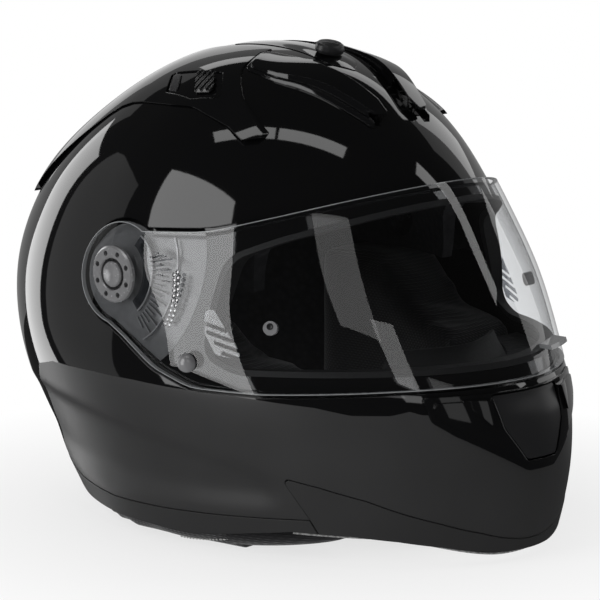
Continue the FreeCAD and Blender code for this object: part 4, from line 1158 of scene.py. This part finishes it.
def neck_stitches(word, sign):
    """Row of stitches along the neck roll's hem."""
    points, faces = [], []
    for k in range(STITCHES):
        place, flat = hem_place(sign * (STITCH_START - STITCH_PITCH * k), 0.99)
        along = np.array([-flat[1], flat[0], 0])
        drift = 0.012 * k * k
        middle = place - flat * (5.6 + drift)
        middle[2] = 2.2 + drift
        base = len(points)
        for shift, size in STITCH_SECTIONS:
            for j in range(STITCH_RING):
                u = 2 * math.pi * j / STITCH_RING
                points.append(middle + along * shift + flat * size * math.cos(u)
                              + np.array([0, 0, size * math.sin(u)]))
        faces += tube_faces(len(STITCH_SECTIONS), STITCH_RING, base)
    finished(mesh_object("stitches", points, faces), "neck_stitches_" + word, THREAD, SHELL_BODY,
             "comfort_fabric")


for word, sign in SIDES.items():
    neck_roll_end(word, sign)
    neck_stitches(word, sign)

# ---------------------------------------------------------------- finishes of the pieces kept as they are
PART_FINISH = {
    "sun_shield": SMOKE, "eps_liner": FOAM, "chin_eps": FOAM, "breath_deflector": RUBBER,
    "eye_port_gasket": RUBBER, "chin_vent_mesh": DARK, "visor_tab": VISOR_GREY_AND_EDGE_HIGHLIGHT, "buckle_body": STEEL,
    "buckle_lever": STEEL, "buckle_tongue": STEEL, "chin_vent_hinge_pin": STEEL,
}
SIDED_FINISH = {
    "exhaust_grille": SATIN, "pinlock_pin": PEARL, "visor_stud": PEARL, "sun_shield_pivot": STEEL,
    "chin_strap": WEBBING,
}
for stem, finish in SIDED_FINISH.items():
    for word in SIDES:
        PART_FINISH[stem + "_" + word] = finish
for node, finish in PART_FINISH.items():
    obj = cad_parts[node]
    obj.data.materials.clear()
    obj.data.materials.append(finish)

# ---------------------------------------------------------------- floor and light
def direction(azimuth, elevation):
    """Unit vector towards an azimuth (0 is the front, -90 the wearer's right) and elevation, in degrees."""
    a, e = math.radians(azimuth), math.radians(elevation)
    return Vector((math.sin(a) * math.cos(e), -math.cos(a) * math.cos(e), math.sin(e)))


MIDDLE = Vector((0, 0, 0.13))


def softbox(name, place, size, radiance):
    """Rectangular lamp with a given brightness as a mirror would show it."""
    lamp = bpy.data.lights.new(name, "AREA")
    lamp.shape, lamp.size, lamp.size_y = "RECTANGLE", size[0], size[1]
    lamp.energy = radiance * math.pi * size[0] * size[1]
    lamp.spread = math.pi
    obj = bpy.data.objects.new(name, lamp)
    obj.location = place
    obj.rotation_euler = (MIDDLE - Vector(place)).to_track_quat("-Z", "Y").to_euler()
    obj.visible_camera = False
    bpy.context.scene.collection.objects.link(obj)
    return obj


def softbox_at(name, azimuth, elevation, wide, tall, radiance, distance):
    """Softbox seen from the helmet at an azimuth and elevation, sized in degrees."""
    size = [2 * distance * math.tan(math.radians(angle / 2)) for angle in (wide, tall)]
    place = MIDDLE + direction(azimuth, elevation) * distance
    softbox(name, place, size, radiance)


# name, azimuth, elevation, width and height in degrees, radiance, distance in metres
SOFTBOXES = [
    ("key", -100, 14, 36, 62, 2.8, 1.45),
    ("rear", -178, 0, 20, 54, 2.6, 1.5),
    ("near_wall", -150, 6, 27, 52, 0.3, 1.7),
    ("crown_wall", 143, 15, 30, 26, 0.6, 1.6),
    ("far_wall", 130, 15, 84, 60, 0.25, 1.8),
    ("scoop_strip", 124, 45, 50, 8, 1.5, 1.4),
    ("brow_light", 101, 23, 14, 24, 0.9, 1.5),
    ("far_strip", 48, 35, 8, 26, 2.2, 1.5),
    ("far_low", 76, 10, 22, 14, 1.0, 1.5),
    ("visor_band", -36, 33, 13, 24, 1.0, 1.5),
    ("visor_band_low", -26, 20, 8, 11, 1.6, 1.4),
    ("chin_light", -10, 14, 10, 12, 0.5, 1.6),
]
for box in SOFTBOXES:
    softbox_at(*box)
for end in (-1, 1):
    strip = softbox("overhead", (-0.33 + end * 0.185, -0.15 - end * 0.28, 1.65), (0.22, 0.64), 2.4)
    strip.rotation_euler = (0, 0, math.atan2(0.55, 0.83) + math.pi)

world = bpy.data.worlds.new("studio")
bpy.context.scene.world = world
world.use_nodes = True
tree = world.node_tree
tree.nodes.clear()
path, mixing = tree.nodes.new("ShaderNodeLightPath"), tree.nodes.new("ShaderNodeMixShader")
white, dim = tree.nodes.new("ShaderNodeBackground"), tree.nodes.new("ShaderNodeBackground")
for background, strength in ((white, 1.0), (dim, 0.03)):
    background.inputs[0].default_value, background.inputs[1].default_value = (1, 1, 1, 1), strength
out = tree.nodes.new("ShaderNodeOutputWorld")
tree.links.new(path.outputs["Is Camera Ray"], mixing.inputs[0])
tree.links.new(dim.outputs[0], mixing.inputs[1])
tree.links.new(white.outputs[0], mixing.inputs[2])
tree.links.new(mixing.outputs[0], out.inputs[0])

n = Nodes("floor")
away = n.add("ShaderNodeVectorMath", operation="LENGTH")
n.wire(n.place, away.inputs[0])
fade = n.remap(away.outputs[1], 0.10, 0.30, 0.72, 1.0)
cloth_white = n.add("ShaderNodeBsdfDiffuse")
shade = n.remap(n.noise(3, 2.0), 0, 1, 0.93, 0.97)
n.wire(shade, cloth_white.inputs[0])
glow = n.add("ShaderNodeEmission")
glow.inputs[1].default_value = 1.0
mix = n.add("ShaderNodeMixShader")
n.wire(fade, mix.inputs[0])
n.wire(cloth_white.outputs[0], mix.inputs[1])
n.wire(glow.outputs[0], mix.inputs[2])
n.wire(mix.outputs[0], n.output.inputs[0])
FLOOR_HALF, FLOOR_UP = 4000, -0.5
corners = [(x * FLOOR_HALF, y * FLOOR_HALF, FLOOR_UP) for x, y in ((-1, -1), (1, -1), (1, 1), (-1, 1))]
floor = mesh_object("floor", corners, [(0, 1, 2, 3)])
floor.data.materials.append(n.material)
floor.visible_glossy = False

bpy.context.scene.view_settings.view_transform = "Standard"
